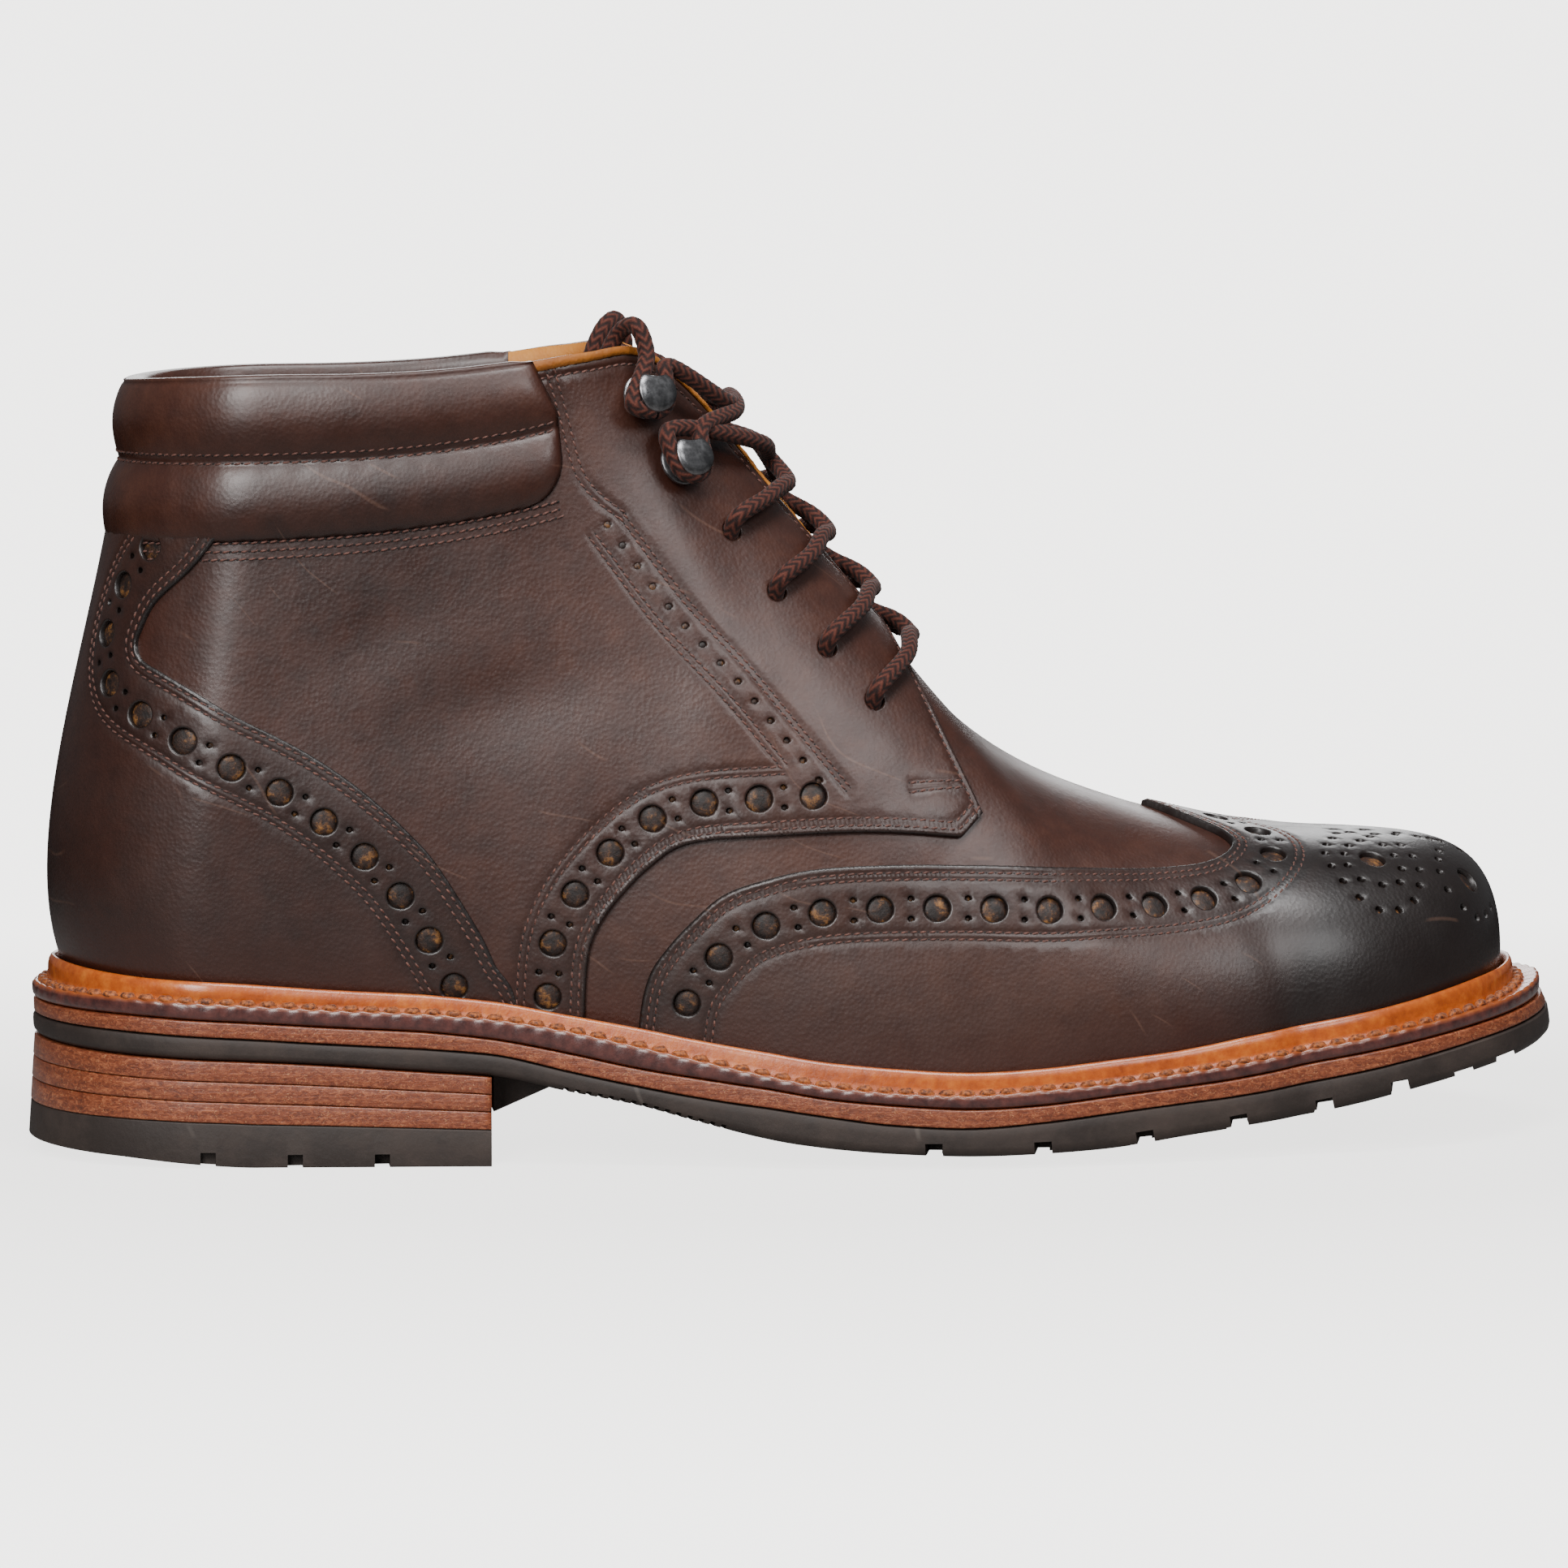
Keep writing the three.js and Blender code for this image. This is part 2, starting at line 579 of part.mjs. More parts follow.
// The rib of rubber under the waist that butts on the front of the heel, in from the edge
function breastRib() {
  const back = HEEL_LENGTH + 2 * CLEARANCE;
  const front = back + BREAST_RIB_LENGTH;
  const top = profileAt(front).under + 1;
  const low = profileAt(back).under - BREAST_RIB_DEPTH;
  const side = new THREE.Shape([
    new THREE.Vector2(back, top), new THREE.Vector2(back, low), new THREE.Vector2(back + 3, low + 0.4),
    new THREE.Vector2(front, treadAt(front) + 0.4), new THREE.Vector2(front, top),
  ]);
  const rib = new THREE.ExtrudeGeometry(side, { depth: 2 * BREAST_RIB_HALF_WIDTH, bevelEnabled: false });
  rib.rotateX(Math.PI / 2);
  rib.translate(0, BREAST_RIB_HALF_WIDTH, 0);
  return rib;
}

function outsoleShape() {
  const drop = (x) => profileAt(x).rubber - profileAt(x).under;
  const body = slab([
    { reach: edge(-1, 2), height: shelf('under') },
    { reach: edge(0, 2.4), height: (x) => profileAt(x).under + 0.3 * drop(x) },
    { reach: edge(0, 1.8), height: shelf('rubber') },
  ], [
    { share: -0.42, height: treadAt },
    { share: 0, height: treadAt },
    { share: 0.42, height: treadAt },
  ]);
  let solid = toSolid(body).add(toSolid(breastRib()));
  for (const cutter of treadGrooves()) solid = solid.subtract(toSolid(cutter));
  return fromSolid(solid);
}

// Section place whose foot lies at a given x, along the straight part of the sides
function placeAt(x) {
  let place = 3;
  while (place < 16 && HEEL_X + LAST_LENGTH * sectionAt(place + 0.02).at < x) place += 0.02;
  return place;
}

// The heel leans back a little from the seat to the ground: share runs from 0 at its seat to 1 there
function heelSlab(top, bottom) {
  const reachAt = (share) => (place) => {
    const end = Math.sin(THREE.MathUtils.degToRad(sectionAt(place).turn)) ** 2;
    return edge(-0.2)(place) + HEEL_BACK_FLARE * share * end;
  };
  return slab([
    { reach: reachAt(bottom.share), height: bottom.height },
    { reach: reachAt(top.share), height: top.height },
  ], [], 0, placeAt(HEEL_LENGTH));
}

function heelLift(number) {
  const level = (count, gap) => (x) => {
    const high = profileAt(x).under - CLEARANCE;
    return high + ((heelAt(x).lift - high) * count) / HEEL_LIFTS + gap;
  };
  const lower = number + 1;
  return heelSlab(
    { share: (LIFTS_SHARE * number) / HEEL_LIFTS, height: level(number, 0) },
    { share: (LIFTS_SHARE * lower) / HEEL_LIFTS, height: level(lower, lower < HEEL_LIFTS ? CLEARANCE : 0) },
  );
}

function topLiftShape() {
  let solid = toSolid(heelSlab(
    { share: LIFTS_SHARE, height: (x) => heelAt(x).lift - CLEARANCE },
    { share: 1, height: groundAt },
  ));
  for (let i = 0; i < HEEL_NOTCHES; i += 1) {
    for (const side of [LATERAL, MEDIAL]) {
      const x = HEEL_NOTCH_START + HEEL_NOTCH_STEP * i;
      const notch = box(HEEL_NOTCH_WIDTH, HEEL_NOTCH_LENGTH, 3 * TREAD_DEPTH, x, side * HALF_BALL * 0.86,
        groundAt(x) + TREAD_DEPTH, 0, 0);
      solid = solid.subtract(toSolid(notch));
    }
  }
  return fromSolid(solid);
}

function upperShape() {
  return thicken(upperSheet(), -UPPER_WALL, 0);
}

// A plate seen from the side, run right across the boot
function sidePlate(points) {
  const place = ([along, up]) => new THREE.Vector2(HEEL_X + LAST_LENGTH * along, LEG_RISE * up);
  const shape = new THREE.Shape(points.map(place));
  const plate = new THREE.ExtrudeGeometry(shape, { depth: 4 * HALF_BALL, bevelEnabled: false });
  plate.rotateX(Math.PI / 2);
  plate.translate(0, 2 * HALF_BALL, 0);
  return toSolid(plate);
}

function smoothed(points, perGap) {
  const curve = new THREE.SplineCurve(points.map(([x, y]) => new THREE.Vector2(x, y)));
  return curve.getPoints((points.length - 1) * perGap).map((p) => [p.x, p.y]);
}

function halfSpace(side) {
  const size = 4 * LAST_LENGTH;
  const shape = new THREE.BoxGeometry(size, size, size);
  shape.translate(0, side * (size / 2 + THROAT_HALF_GAP), 0);
  return toSolid(shape);
}

const overlaySkin = () => toSolid(thicken(upperSheet(OVERLAY_START), CLEARANCE, CLEARANCE + OVERLAY_WALL));

function wingShape() {
  const edge = smoothed(WING_EDGE, 2);
  return fromSolid(overlaySkin().intersect(sidePlate([...edge, [0.713, 1.1], [1.1, 1.1], [1.1, 0.1]])));
}

function counterShape() {
  const edge = smoothed(COUNTER_EDGE, 2);
  return fromSolid(overlaySkin().intersect(sidePlate([...edge, [-0.1, 1.275], [-0.1, 0.1]])));
}

function facingShape(side) {
  const rear = smoothed(FACING_REAR.slice(0, 5), 2).concat(smoothed(FACING_REAR.slice(5), 2));
  const front = smoothed(FACING_FRONT.slice(0, 10), 2).concat(FACING_FRONT.slice(10));
  const plate = sidePlate([...rear, ...front, [0.75, 0.972], [0.75, 1.8], [0.324, 1.8]]);
  return fromSolid(overlaySkin().intersect(plate).intersect(halfSpace(side)));
}

// The collar: a sheet round the back of the leg, thickened by two soft rolls with a stitched waist between
function collarShape() {
  const rise = 6;
  const round = stations(0, COLLAR_REACH);
  const walk = [
    ...round.slice(1).reverse().map((place) => [place, LATERAL]),
    ...round.map((place) => [place, MEDIAL]),
  ];
  const sheet = (isOuter) => walk.map(([place, side]) => Array.from({ length: rise + 1 }, (_, j) => {
    const b = j / rise;
    const corner = b < 0.25 ? COLLAR_CORNER * (1 - Math.sqrt(1 - (1 - b * 4) ** 2)) : 0;
    const reach = COLLAR_REACH - corner - Math.max(b - 0.6, 0) * 0.8;
    const roll = Math.abs(Math.sin(2 * Math.PI * b)) * (1 - (place / COLLAR_REACH) ** 8);
    const thick = isOuter ? COLLAR_WALL + COLLAR_ROLL * roll : 0;
    const spot = Math.min(place, reach);
    const seam = LEG_RISE * (COLLAR_BACK + COLLAR_FRONT_LIFT * (spot / COLLAR_REACH) ** 3);
    const bottom = upAtHeight(spot, side, seam);
    return upperOffset(spot, bottom + (1 - bottom) * b, side, 2 * CLEARANCE + thick);
  }));
  const outer = sheet(true);
  const inner = sheet(false);
  return loft(outer.map((column, i) => [...column, ...[...inner[i]].reverse()]));
}

// The tongue: arcs over the instep, just inside the upper, from below the top edge down under the vamp
function tongueShape() {
  const loops = stations(TONGUE_TOP, TONGUE_FOOT).map((place) => {
    const arc = (out) => {
      const ups = [TONGUE_WRAP, (1 + TONGUE_WRAP) / 2, 0.985];
      const lateral = ups.map((up) => upperOffset(place, up, LATERAL, out));
      const medial = ups.map((up) => upperOffset(place, up, MEDIAL, out)).reverse();
      const middle = lateral[2].clone().lerp(medial[0], 0.5);
      const open = THREE.MathUtils.clamp(sectionAt(place).top / 0.13, 0, 1);
      middle.addScaledVector(upperNormal(place, 1, LATERAL).setY(0).normalize(), TONGUE_CROWN * open);
      return new THREE.CatmullRomCurve3([...lateral, middle, ...medial]).getPoints(10);
    };
    const outer = -UPPER_WALL - TONGUE_GAP;
    return [...arc(outer), ...arc(outer - TONGUE_WALL).reverse()];
  });
  return loft(loops);
}

// Height of a lace's middle over the leather that it lies on
const LACE_LIFT = 2 * CLEARANCE + OVERLAY_WALL + LACE_DIAMETER / 2;
const HOOK_BASE = 2 * CLEARANCE + OVERLAY_WALL + 0.3;
const HOOK_LACE = HOOK_BASE + HOOK_PLATE_THICKNESS + CLEARANCE + LACE_DIAMETER / 2;

function sweep(points, radius, sides, stepLength) {
  const curve = new THREE.CatmullRomCurve3(points, false, 'centripetal');
  const corners = Array.from({ length: sides }, (_, k) => {
    const angle = (2 * Math.PI * k) / sides;
    return new THREE.Vector2(Math.cos(angle) * radius, Math.sin(angle) * radius);
  });
  return new THREE.ExtrudeGeometry(new THREE.Shape(corners), {
    steps: Math.ceil(curve.getLength() / stepLength), extrudePath: curve, bevelEnabled: false,
  });
}

// Middle of the throat at a section, a little over its edges
function throatMiddle(place, lift) {
  const middle = upperPoint(place, 1, LATERAL).lerp(upperPoint(place, 1, MEDIAL), 0.5);
  const forward = upperNormal(place, 1, LATERAL).setY(0).normalize();
  return middle.addScaledVector(forward, lift);
}

// From an eyelet up over the facing to the throat's edge
function barRise(from, side) {
  const { section, up } = EYELETS[from];
  const edge = EDGE_CROSSINGS[from];
  const between = BAR_COURSE.map(({ rise, run }) => (
    upperOffset(section + (edge - section) * run, up + (0.985 - up) * rise, side, LACE_LIFT + 0.6)));
  return [
    upperOffset(section, up, side, LACE_LIFT + 0.1),
    ...between,
    upperOffset(edge, 0.985, side, LACE_LIFT + 0.4),
  ];
}

function barPoints(from, side) {
  const edge = EDGE_CROSSINGS[from];
  const rise = barRise(from, side);
  const overEdge = rise[rise.length - 1];
  return [
    ...rise,
    overEdge.clone().lerp(throatMiddle(edge - 0.3, 3.4), 0.5),
    throatMiddle(edge - 0.38, 1.2),
    upperOffset(edge - 0.7, 1, -side, -1.4).lerp(throatMiddle(edge - 0.7, -1.4), 0.36),
  ];
}

// One crossing: the lace from each side's eyelet runs over its own edge and under the far one
function crossingShape(from) {
  const bar = (side) => toSolid(sweep(barPoints(from, side), LACE_DIAMETER / 2, 6, 5.5));
  const bars = [LATERAL, MEDIAL].map(bar);
  return fromSolid(bars[0].add(bars[1]));
}

function hookFrame(hook, side) {
  const { section, up } = hook;
  const out = upperNormal(section, up, side);
  const inward = upperPoint(section, up + 0.03, side).sub(upperPoint(section, up, side)).normalize();
  const climb = new THREE.Vector3().crossVectors(out, inward).multiplyScalar(side === LATERAL ? 1 : -1);
  if (climb.z < 0) climb.negate();
  return { centre: upperPoint(section, up, side), out, inward, climb };
}

function hookPoint(hook, side, inward, climb, out = HOOK_LACE) {
  const f = hookFrame(hook, side);
  const lifted = f.centre.addScaledVector(f.out, out);
  return lifted.addScaledVector(f.inward, inward).addScaledVector(f.climb, climb);
}

// From the top eyelet across to the far lower hook, round it, and back across to this side's top hook
function topLacePoints(side) {
  const bend = HOOK_WIRE_RADIUS + LACE_DIAMETER / 2 + CLEARANCE;
  const [high, low] = HOOKS;
  return [
    ...barRise(0, side),
    throatMiddle(9.85, 4),
    upperOffset(9.65, 0.985, -side, LACE_LIFT + 1.2),
    hookPoint(low, -side, 5.5, -bend - 0.3),
    hookPoint(low, -side, 0, -bend - 0.2),
    hookPoint(low, -side, -0.75 * bend, -0.75 * bend),
    hookPoint(low, -side, -bend - 0.2, 0),
    hookPoint(low, -side, -0.75 * bend, 0.75 * bend),
    hookPoint(low, -side, 0, bend + 0.2),
    hookPoint(low, -side, 5.5, bend + 0.8),
    upperOffset(9.3, 0.985, -side, LACE_LIFT + 1.4),
    throatMiddle(9.25, 5.6),
    upperOffset(9.2, 0.985, side, LACE_LIFT + 1.4),
    hookPoint(high, side, 5.5, -bend - 0.4),
    hookPoint(high, side, 0, -bend - 0.2),
    hookPoint(high, side, -0.75 * bend, -0.75 * bend),
    hookPoint(high, side, -bend - 0.15, -0.5),
    hookPoint(high, side, -bend - 0.2, -0.1),
  ];
}

function topLaceShape() {
  const strands = [LATERAL, MEDIAL].map((side) => (
    toSolid(sweep(topLacePoints(side), LACE_DIAMETER / 2, 6, 5))));
  return fromSolid(strands[0].add(strands[1]));
}

// The end of the lace: from behind the top hook, up over the top edge and down inside the leg
function laceEndPoints(side) {
  const bend = HOOK_WIRE_RADIUS + LACE_DIAMETER / 2 + CLEARANCE;
  const [high] = HOOKS;
  const overTop = (out) => upperOffset(7.8, 1, side, out).add(new THREE.Vector3(0, 0, 3.6));
  return [
    hookPoint(high, side, -bend - 0.2, 0.4),
    hookPoint(high, side, -bend - 0.1, 1.6),
    hookPoint(high, side, -2.6, 5),
    upperOffset(7.85, 0.975, side, LACE_LIFT + 0.9),
    overTop(2.2),
    overTop(-2.6),
    upperOffset(7.7, 0.985, side, -5.8),
    upperOffset(7.6, 0.94, side, -6.2),
    upperOffset(7.5, 0.88, side, -6.4),
  ];
}

function laceEndShape(side) {
  return sweep(laceEndPoints(side), LACE_DIAMETER / 2, 8, 5);
}

// A speed hook: a plate on the facing, a stem, and a domed cap that the lace runs under
function hookShape() {
  const gap = LACE_DIAMETER + 2 * CLEARANCE;
  const cap = HOOK_PLATE_THICKNESS + gap;
  const profile = [
    [0, 0], [HOOK_PLATE_RADIUS, 0], [HOOK_PLATE_RADIUS, HOOK_PLATE_THICKNESS],
    [HOOK_WIRE_RADIUS, HOOK_PLATE_THICKNESS], [HOOK_WIRE_RADIUS, cap], [HOOK_CAP_RADIUS, cap],
    [HOOK_CAP_RADIUS * 0.8, cap + 1.2], [0, cap + 1.8],
  ];
  const shape = new THREE.LatheGeometry(profile.map(([r, h]) => new THREE.Vector2(r, h)), 10);
  return fromSolid(toSolid(shape));
}

function seatHook(mesh, hook, side) {
  const f = hookFrame(hook, side);
  mesh.position.copy(f.centre.addScaledVector(f.out, HOOK_BASE));
  mesh.quaternion.setFromUnitVectors(new THREE.Vector3(0, 1, 0), f.out);
}

function finish(color, roughness, metalness = 0) {
  return new THREE.MeshStandardMaterial({ color, roughness, metalness });
}

const upperLeather = () => finish(0x4a2f28, 0.42);
const capLeather = () => finish(0x3c2620, 0.36);
const soleLeather = () => finish(0x9a5f3a, 0.5);
const stormLeather = () => finish(0xc47a35, 0.4);
const soleRubber = () => finish(0x37302c, 0.75);
const liningLeather = () => finish(0xcd9a5b, 0.7);
const laceCord = () => finish(0x553026, 0.85);
const gunmetal = () => finish(0x2d3034, 0.3, 1);

const group = new THREE.Group();
group.position.x = -HEEL_REST_X;

function add(name, geometry, material) {
  const mesh = new THREE.Mesh(geometry, material);
  mesh.name = name;
  group.add(mesh);
  return mesh;
}

add('outsole', outsoleShape(), soleRubber());
add('midsole', midsoleShape(), soleLeather());
add('welt', weltShape(), stormLeather());
add('insole', insoleShape(), liningLeather());
for (let i = 0; i < HEEL_LIFTS; i += 1) add(`heel_lift_${i + 1}`, heelLift(i), soleLeather());
add('heel_top_lift', topLiftShape(), soleRubber());
add('upper', upperShape(), upperLeather());
add('wing_cap', wingShape(), capLeather());
add('counter', counterShape(), capLeather());
add('collar', collarShape(), upperLeather());
add('tongue', tongueShape(), upperLeather());
add('lace_crossing_top', topLaceShape(), laceCord());
for (let i = 1; i < EYELETS.length; i += 1) add(`lace_crossing_${i}`, crossingShape(i), laceCord());
for (const [side, word] of [[LATERAL, 'lateral'], [MEDIAL, 'medial']]) {
  add(`facing_${word}`, facingShape(side), upperLeather());
  add(`lace_end_${word}`, laceEndShape(side), laceCord());
  HOOKS.forEach((hook, i) => seatHook(add(`hook_${word}_${i + 1}`, hookShape(), gunmetal()), hook, side));
}

export default group;
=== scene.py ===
import math
import bpy
import numpy as np
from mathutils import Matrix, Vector, geometry
from mathutils.kdtree import KDTree


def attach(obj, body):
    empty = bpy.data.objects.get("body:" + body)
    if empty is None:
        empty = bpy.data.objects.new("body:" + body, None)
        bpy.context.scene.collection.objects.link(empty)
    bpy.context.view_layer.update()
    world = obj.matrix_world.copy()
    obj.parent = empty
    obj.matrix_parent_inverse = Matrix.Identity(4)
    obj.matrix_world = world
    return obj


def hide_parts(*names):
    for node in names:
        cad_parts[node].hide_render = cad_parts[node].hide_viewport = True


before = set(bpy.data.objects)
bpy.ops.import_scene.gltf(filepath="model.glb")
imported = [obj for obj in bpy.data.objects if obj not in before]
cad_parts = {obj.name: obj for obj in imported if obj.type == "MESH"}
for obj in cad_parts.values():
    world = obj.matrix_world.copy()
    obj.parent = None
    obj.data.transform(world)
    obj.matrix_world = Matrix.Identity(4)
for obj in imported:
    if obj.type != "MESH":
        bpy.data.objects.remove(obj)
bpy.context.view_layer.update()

# Right brogue boot. Lengths are in millimetres until a mesh is made; x runs from the back of the heel to the
# toe, the outer side of the foot is at -y, and z is up from the floor.
MM = 0.001
HEEL_REST_X = 72

# Driving dimensions of the last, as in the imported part
LAST_LENGTH = 297
HALF_BALL = 48.5
TOE_HEIGHT = 31
VAMP_RISE = 29.5
LEG_RISE = 94
TOE_SWING = 4
HEEL_X = 8.8
FEATHER_DROP = 1
UPPER_WALL = 2.4
SHELL_WALL = 1.4
OVERLAY_WALL = 1.2
CLEARANCE = 0.3
OVERLAY_TOP = CLEARANCE + OVERLAY_WALL
INSOLE_THICKNESS = 3.2
LATERAL = -1
MEDIAL = 1
SIDES = ((LATERAL, "lateral"), (MEDIAL, "medial"))

# Sole, heel and tread
WELT_REACH = 7.2
END_REACH = 2.7
WELT_RIDGE_WIDTH = 1.9
HEEL_LENGTH = 94
HEEL_LIFTS = 3
LIFTS_SHARE = 0.65
HEEL_BACK_FLARE = 1.3
TREAD_DEPTH = 2.6
GROOVE_WIDTH = 3.8
LUG_COUNT = 8
TREAD_START = 180
TREAD_END = 300
HEEL_NOTCH_START = 20
HEEL_NOTCH_STEP = 17.2

# Lacing
LACE_DIAMETER = 3.5
HOOK_PLATE_RADIUS = 4.6
HOOK_PLATE_THICKNESS = 1.1
HOOK_WIRE_RADIUS = 1.5

# Sections of the upper from the heel's back to the toe: turn in degrees, the others as shares of the last's
# length, of half its width at the ball, or of the way up
SECTION_COLUMNS = ("turn", "at", "outer", "inner", "belly_outer", "belly_inner", "belly_up", "top_at",
                   "shoulder", "shoulder_up", "top", "climb")
SECTIONS = np.array([
    [-90, 0.1185, 0.64, 0.64, 0.984, 0.984, 0.22, 0.139, 0.536, 0.69, 0.547, 1.0],
    [-60, 0.1185, 0.625, 0.621, 0.93, 0.925, 0.22, 0.139, 0.545, 0.675, 0.575, 1.005],
    [-30, 0.1185, 0.6, 0.592, 0.85, 0.84, 0.225, 0.139, 0.56, 0.65, 0.62, 1.012],
    [0, 0.1185, 0.582, 0.572, 0.79, 0.78, 0.23, 0.139, 0.567, 0.63, 0.655, 1.018],
    [0, 0.206, 0.62, 0.57, 0.778, 0.765, 0.23, 0.199, 0.583, 0.63, 0.68, 1.02],
    [0, 0.29, 0.66, 0.55, 0.785, 0.75, 0.24, 0.253, 0.612, 0.64, 0.672, 1.028],
    [0, 0.368, 0.735, 0.55, 0.835, 0.75, 0.24, 0.304, 0.632, 0.66, 0.635, 1.045],
    [0, 0.442, 0.825, 0.622, 0.915, 0.812, 0.24, 0.351, 0.639, 0.7, 0.546, 1.068],
    [0, 0.502, 0.908, 0.725, 0.998, 0.895, 0.24, 0.391, 0.639, 0.76, 0.381, 1.072],
    [0, 0.556, 0.966, 0.818, 1.058, 0.975, 0.24, 0.432, 0.557, 0.86, 0.196, 0.97],
    [0, 0.61, 0.996, 0.89, 1.098, 1.036, 0.27, 0.482, 0.526, 0.91, 0.175, 0.775],
    [0, 0.661, 0.996, 0.95, 1.108, 1.077, 0.33, 0.531, 0.505, 0.94, 0.165, 0.58],
    [0, 0.704, 0.976, 0.976, 1.095, 1.098, 0.4, 0.573, 0.485, 0.97, 0.134, 0.415],
    [0, 0.738, 0.953, 0.981, 1.07, 1.095, 0.46, 0.613, 0.464, 0.995, 0, 0.27],
    [0, 0.772, 0.922, 0.969, 1.035, 1.08, 0.52, 0.664, 0.454, 1, 0, 0.16],
    [0, 0.805, 0.885, 0.944, 0.995, 1.05, 0.58, 0.728, 0.464, 1, 0, 0.08],
    [0, 0.839, 0.839, 0.903, 0.945, 1.005, 0.65, 0.789, 0.495, 1, 0, 0.03],
    [30, 0.839, 0.845, 0.882, 0.93, 0.965, 0.74, 0.829, 0.54, 1, 0, 0.002],
    [60, 0.839, 0.907, 0.92, 0.965, 0.98, 0.83, 0.853, 0.595, 1, 0, -0.005],
    [90, 0.839, 0.95, 0.95, 1.007, 1.007, 0.8825, 0.866, 0.634, 1, 0, -0.005],
])
LAST_PLACE = len(SECTIONS) - 1
CLOSED_FROM = 13
CHART_ROW = 26
HALVINGS = 16
SEAM_SHARE = 1e-6
FAR_OFF = 99.0

# Heights along the edge of the sole, as shares of the toe height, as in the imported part
PROFILE_COLUMNS = ("at", "feather", "ridge", "welt", "mid", "rubber", "under", "tread")
PROFILE = np.array([
    [-0.03, 1.09, 1.29, 1.09, 0.985, 0.885, 0.76, 0.76],
    [0.04, 1.08, 1.22, 1.085, 0.973, 0.864, 0.723, 0.723],
    [0.105, 1.05, 1.187, 1.055, 0.939, 0.83, 0.695, 0.695],
    [0.172, 1.02, 1.138, 1.017, 0.9, 0.79, 0.662, 0.662],
    [0.24, 0.985, 1.1, 0.987, 0.865, 0.753, 0.616, 0.616],
    [0.29, 0.94, 1.048, 0.945, 0.81, 0.709, 0.578, 0.578],
    [0.334, 0.873, 0.97, 0.877, 0.73, 0.612, 0.486, 0.44],
    [0.381, 0.782, 0.89, 0.781, 0.635, 0.518, 0.4, 0.33],
    [0.425, 0.685, 0.807, 0.686, 0.568, 0.442, 0.287, 0.22],
    [0.469, 0.6, 0.736, 0.597, 0.508, 0.384, 0.186, 0.1],
    [0.505, 0.54, 0.68, 0.534, 0.45, 0.334, 0.135, 0.03],
    [0.545, 0.495, 0.643, 0.499, 0.414, 0.285, 0.103, 0],
    [0.6, 0.476, 0.612, 0.477, 0.384, 0.258, 0.082, 0],
    [0.65, 0.5, 0.63, 0.503, 0.402, 0.288, 0.09, 0.004],
    [0.7, 0.54, 0.675, 0.535, 0.45, 0.338, 0.116, 0.03],
    [0.745, 0.586, 0.718, 0.585, 0.49, 0.38, 0.17, 0.085],
    [0.789, 0.636, 0.785, 0.633, 0.535, 0.418, 0.22, 0.145],
    [0.846, 0.718, 0.868, 0.714, 0.618, 0.494, 0.29, 0.225],
    [0.903, 0.805, 0.955, 0.8, 0.7, 0.585, 0.393, 0.335],
    [0.967, 0.91, 1.07, 0.9, 0.798, 0.7, 0.51, 0.465],
    [1.035, 1.015, 1.153, 1.02, 0.898, 0.808, 0.622, 0.622],
])
HEEL_COLUMNS = ("at", "lift", "ground")
HEEL_PROFILE = np.array([
    [-0.03, 0.316, 0.09],
    [0.04, 0.31, 0.062],
    [0.08, 0.3, 0.03],
    [0.125, 0.28, 0],
    [0.29, 0.236, 0],
])

# Side views of the overlays: along is the share of the last length, up the share of the leg's rise
WING_EDGE = [
    (0.381, 0.1), (0.384, 0.299), (0.39, 0.398), (0.402, 0.459), (0.418, 0.515), (0.439, 0.573),
    (0.466, 0.605), (0.497, 0.626), (0.541, 0.633), (0.596, 0.631), (0.662, 0.616), (0.721, 0.6),
    (0.758, 0.599), (0.776, 0.604), (0.789, 0.615), (0.797, 0.631), (0.795, 0.645), (0.785, 0.662),
    (0.752, 0.702), (0.713, 0.745),
]
COUNTER_EDGE = [
    (0.308, 0.1), (0.303, 0.341), (0.289, 0.422), (0.278, 0.494), (0.25, 0.636), (0.232, 0.702),
    (0.213, 0.76), (0.192, 0.815), (0.167, 0.869), (0.143, 0.911), (0.116, 0.954), (0.091, 1.003),
    (0.069, 1.043), (0.057, 1.067), (0.054, 1.097), (0.057, 1.129), (0.067, 1.19), (0.09, 1.262),
]
FACING_FRONT = [
    (0.348, 0.1), (0.348, 0.317), (0.35, 0.438), (0.356, 0.5), (0.369, 0.561), (0.391, 0.633), (0.417, 0.682),
    (0.471, 0.697), (0.542, 0.702), (0.6, 0.688), (0.615, 0.734), (0.602, 0.822), (0.591, 0.897),
    (0.58, 0.972),
]

# Places on the facings, by section and by share of the way up it
EYELETS = [(8.92, 0.734), (9.32, 0.671), (9.81, 0.628), (10.25, 0.581)]
EDGE_CROSSINGS = [10.05, 10.6, 11.27, 11.92]
BAR_COURSE = [(0.35, 0.53), (0.7, 0.84)]
HOOKS = [(7.87, 0.912), (8.28, 0.815)]
TONGUE_TOP = 7.9
TONGUE_FOOT = 13.8
TONGUE_WRAP = 0.78
COLLAR_REACH = 6.55
COLLAR_BACK = 1.312
COLLAR_FRONT_LIFT = 0.096
PANEL_FOOT = 0.02


# Geometry of the last


def through(rows, place):
    """Smooth curve through a table's rows, at places between them."""
    last = len(rows) - 1
    spot = np.clip(place, 0, last - 1e-9)
    i = np.floor(spot).astype(int)
    f = (spot - i)[..., None]
    ends = np.vstack([2 * rows[0] - rows[1], rows, 2 * rows[-1] - rows[-2]])
    before, here, after, beyond = (ends[i + k] for k in range(4))
    a = after - before
    b = 2 * before - 5 * here + 4 * after - beyond
    c = 3 * here - before - 3 * after + beyond
    return here + 0.5 * f * (a + f * (b + f * c))


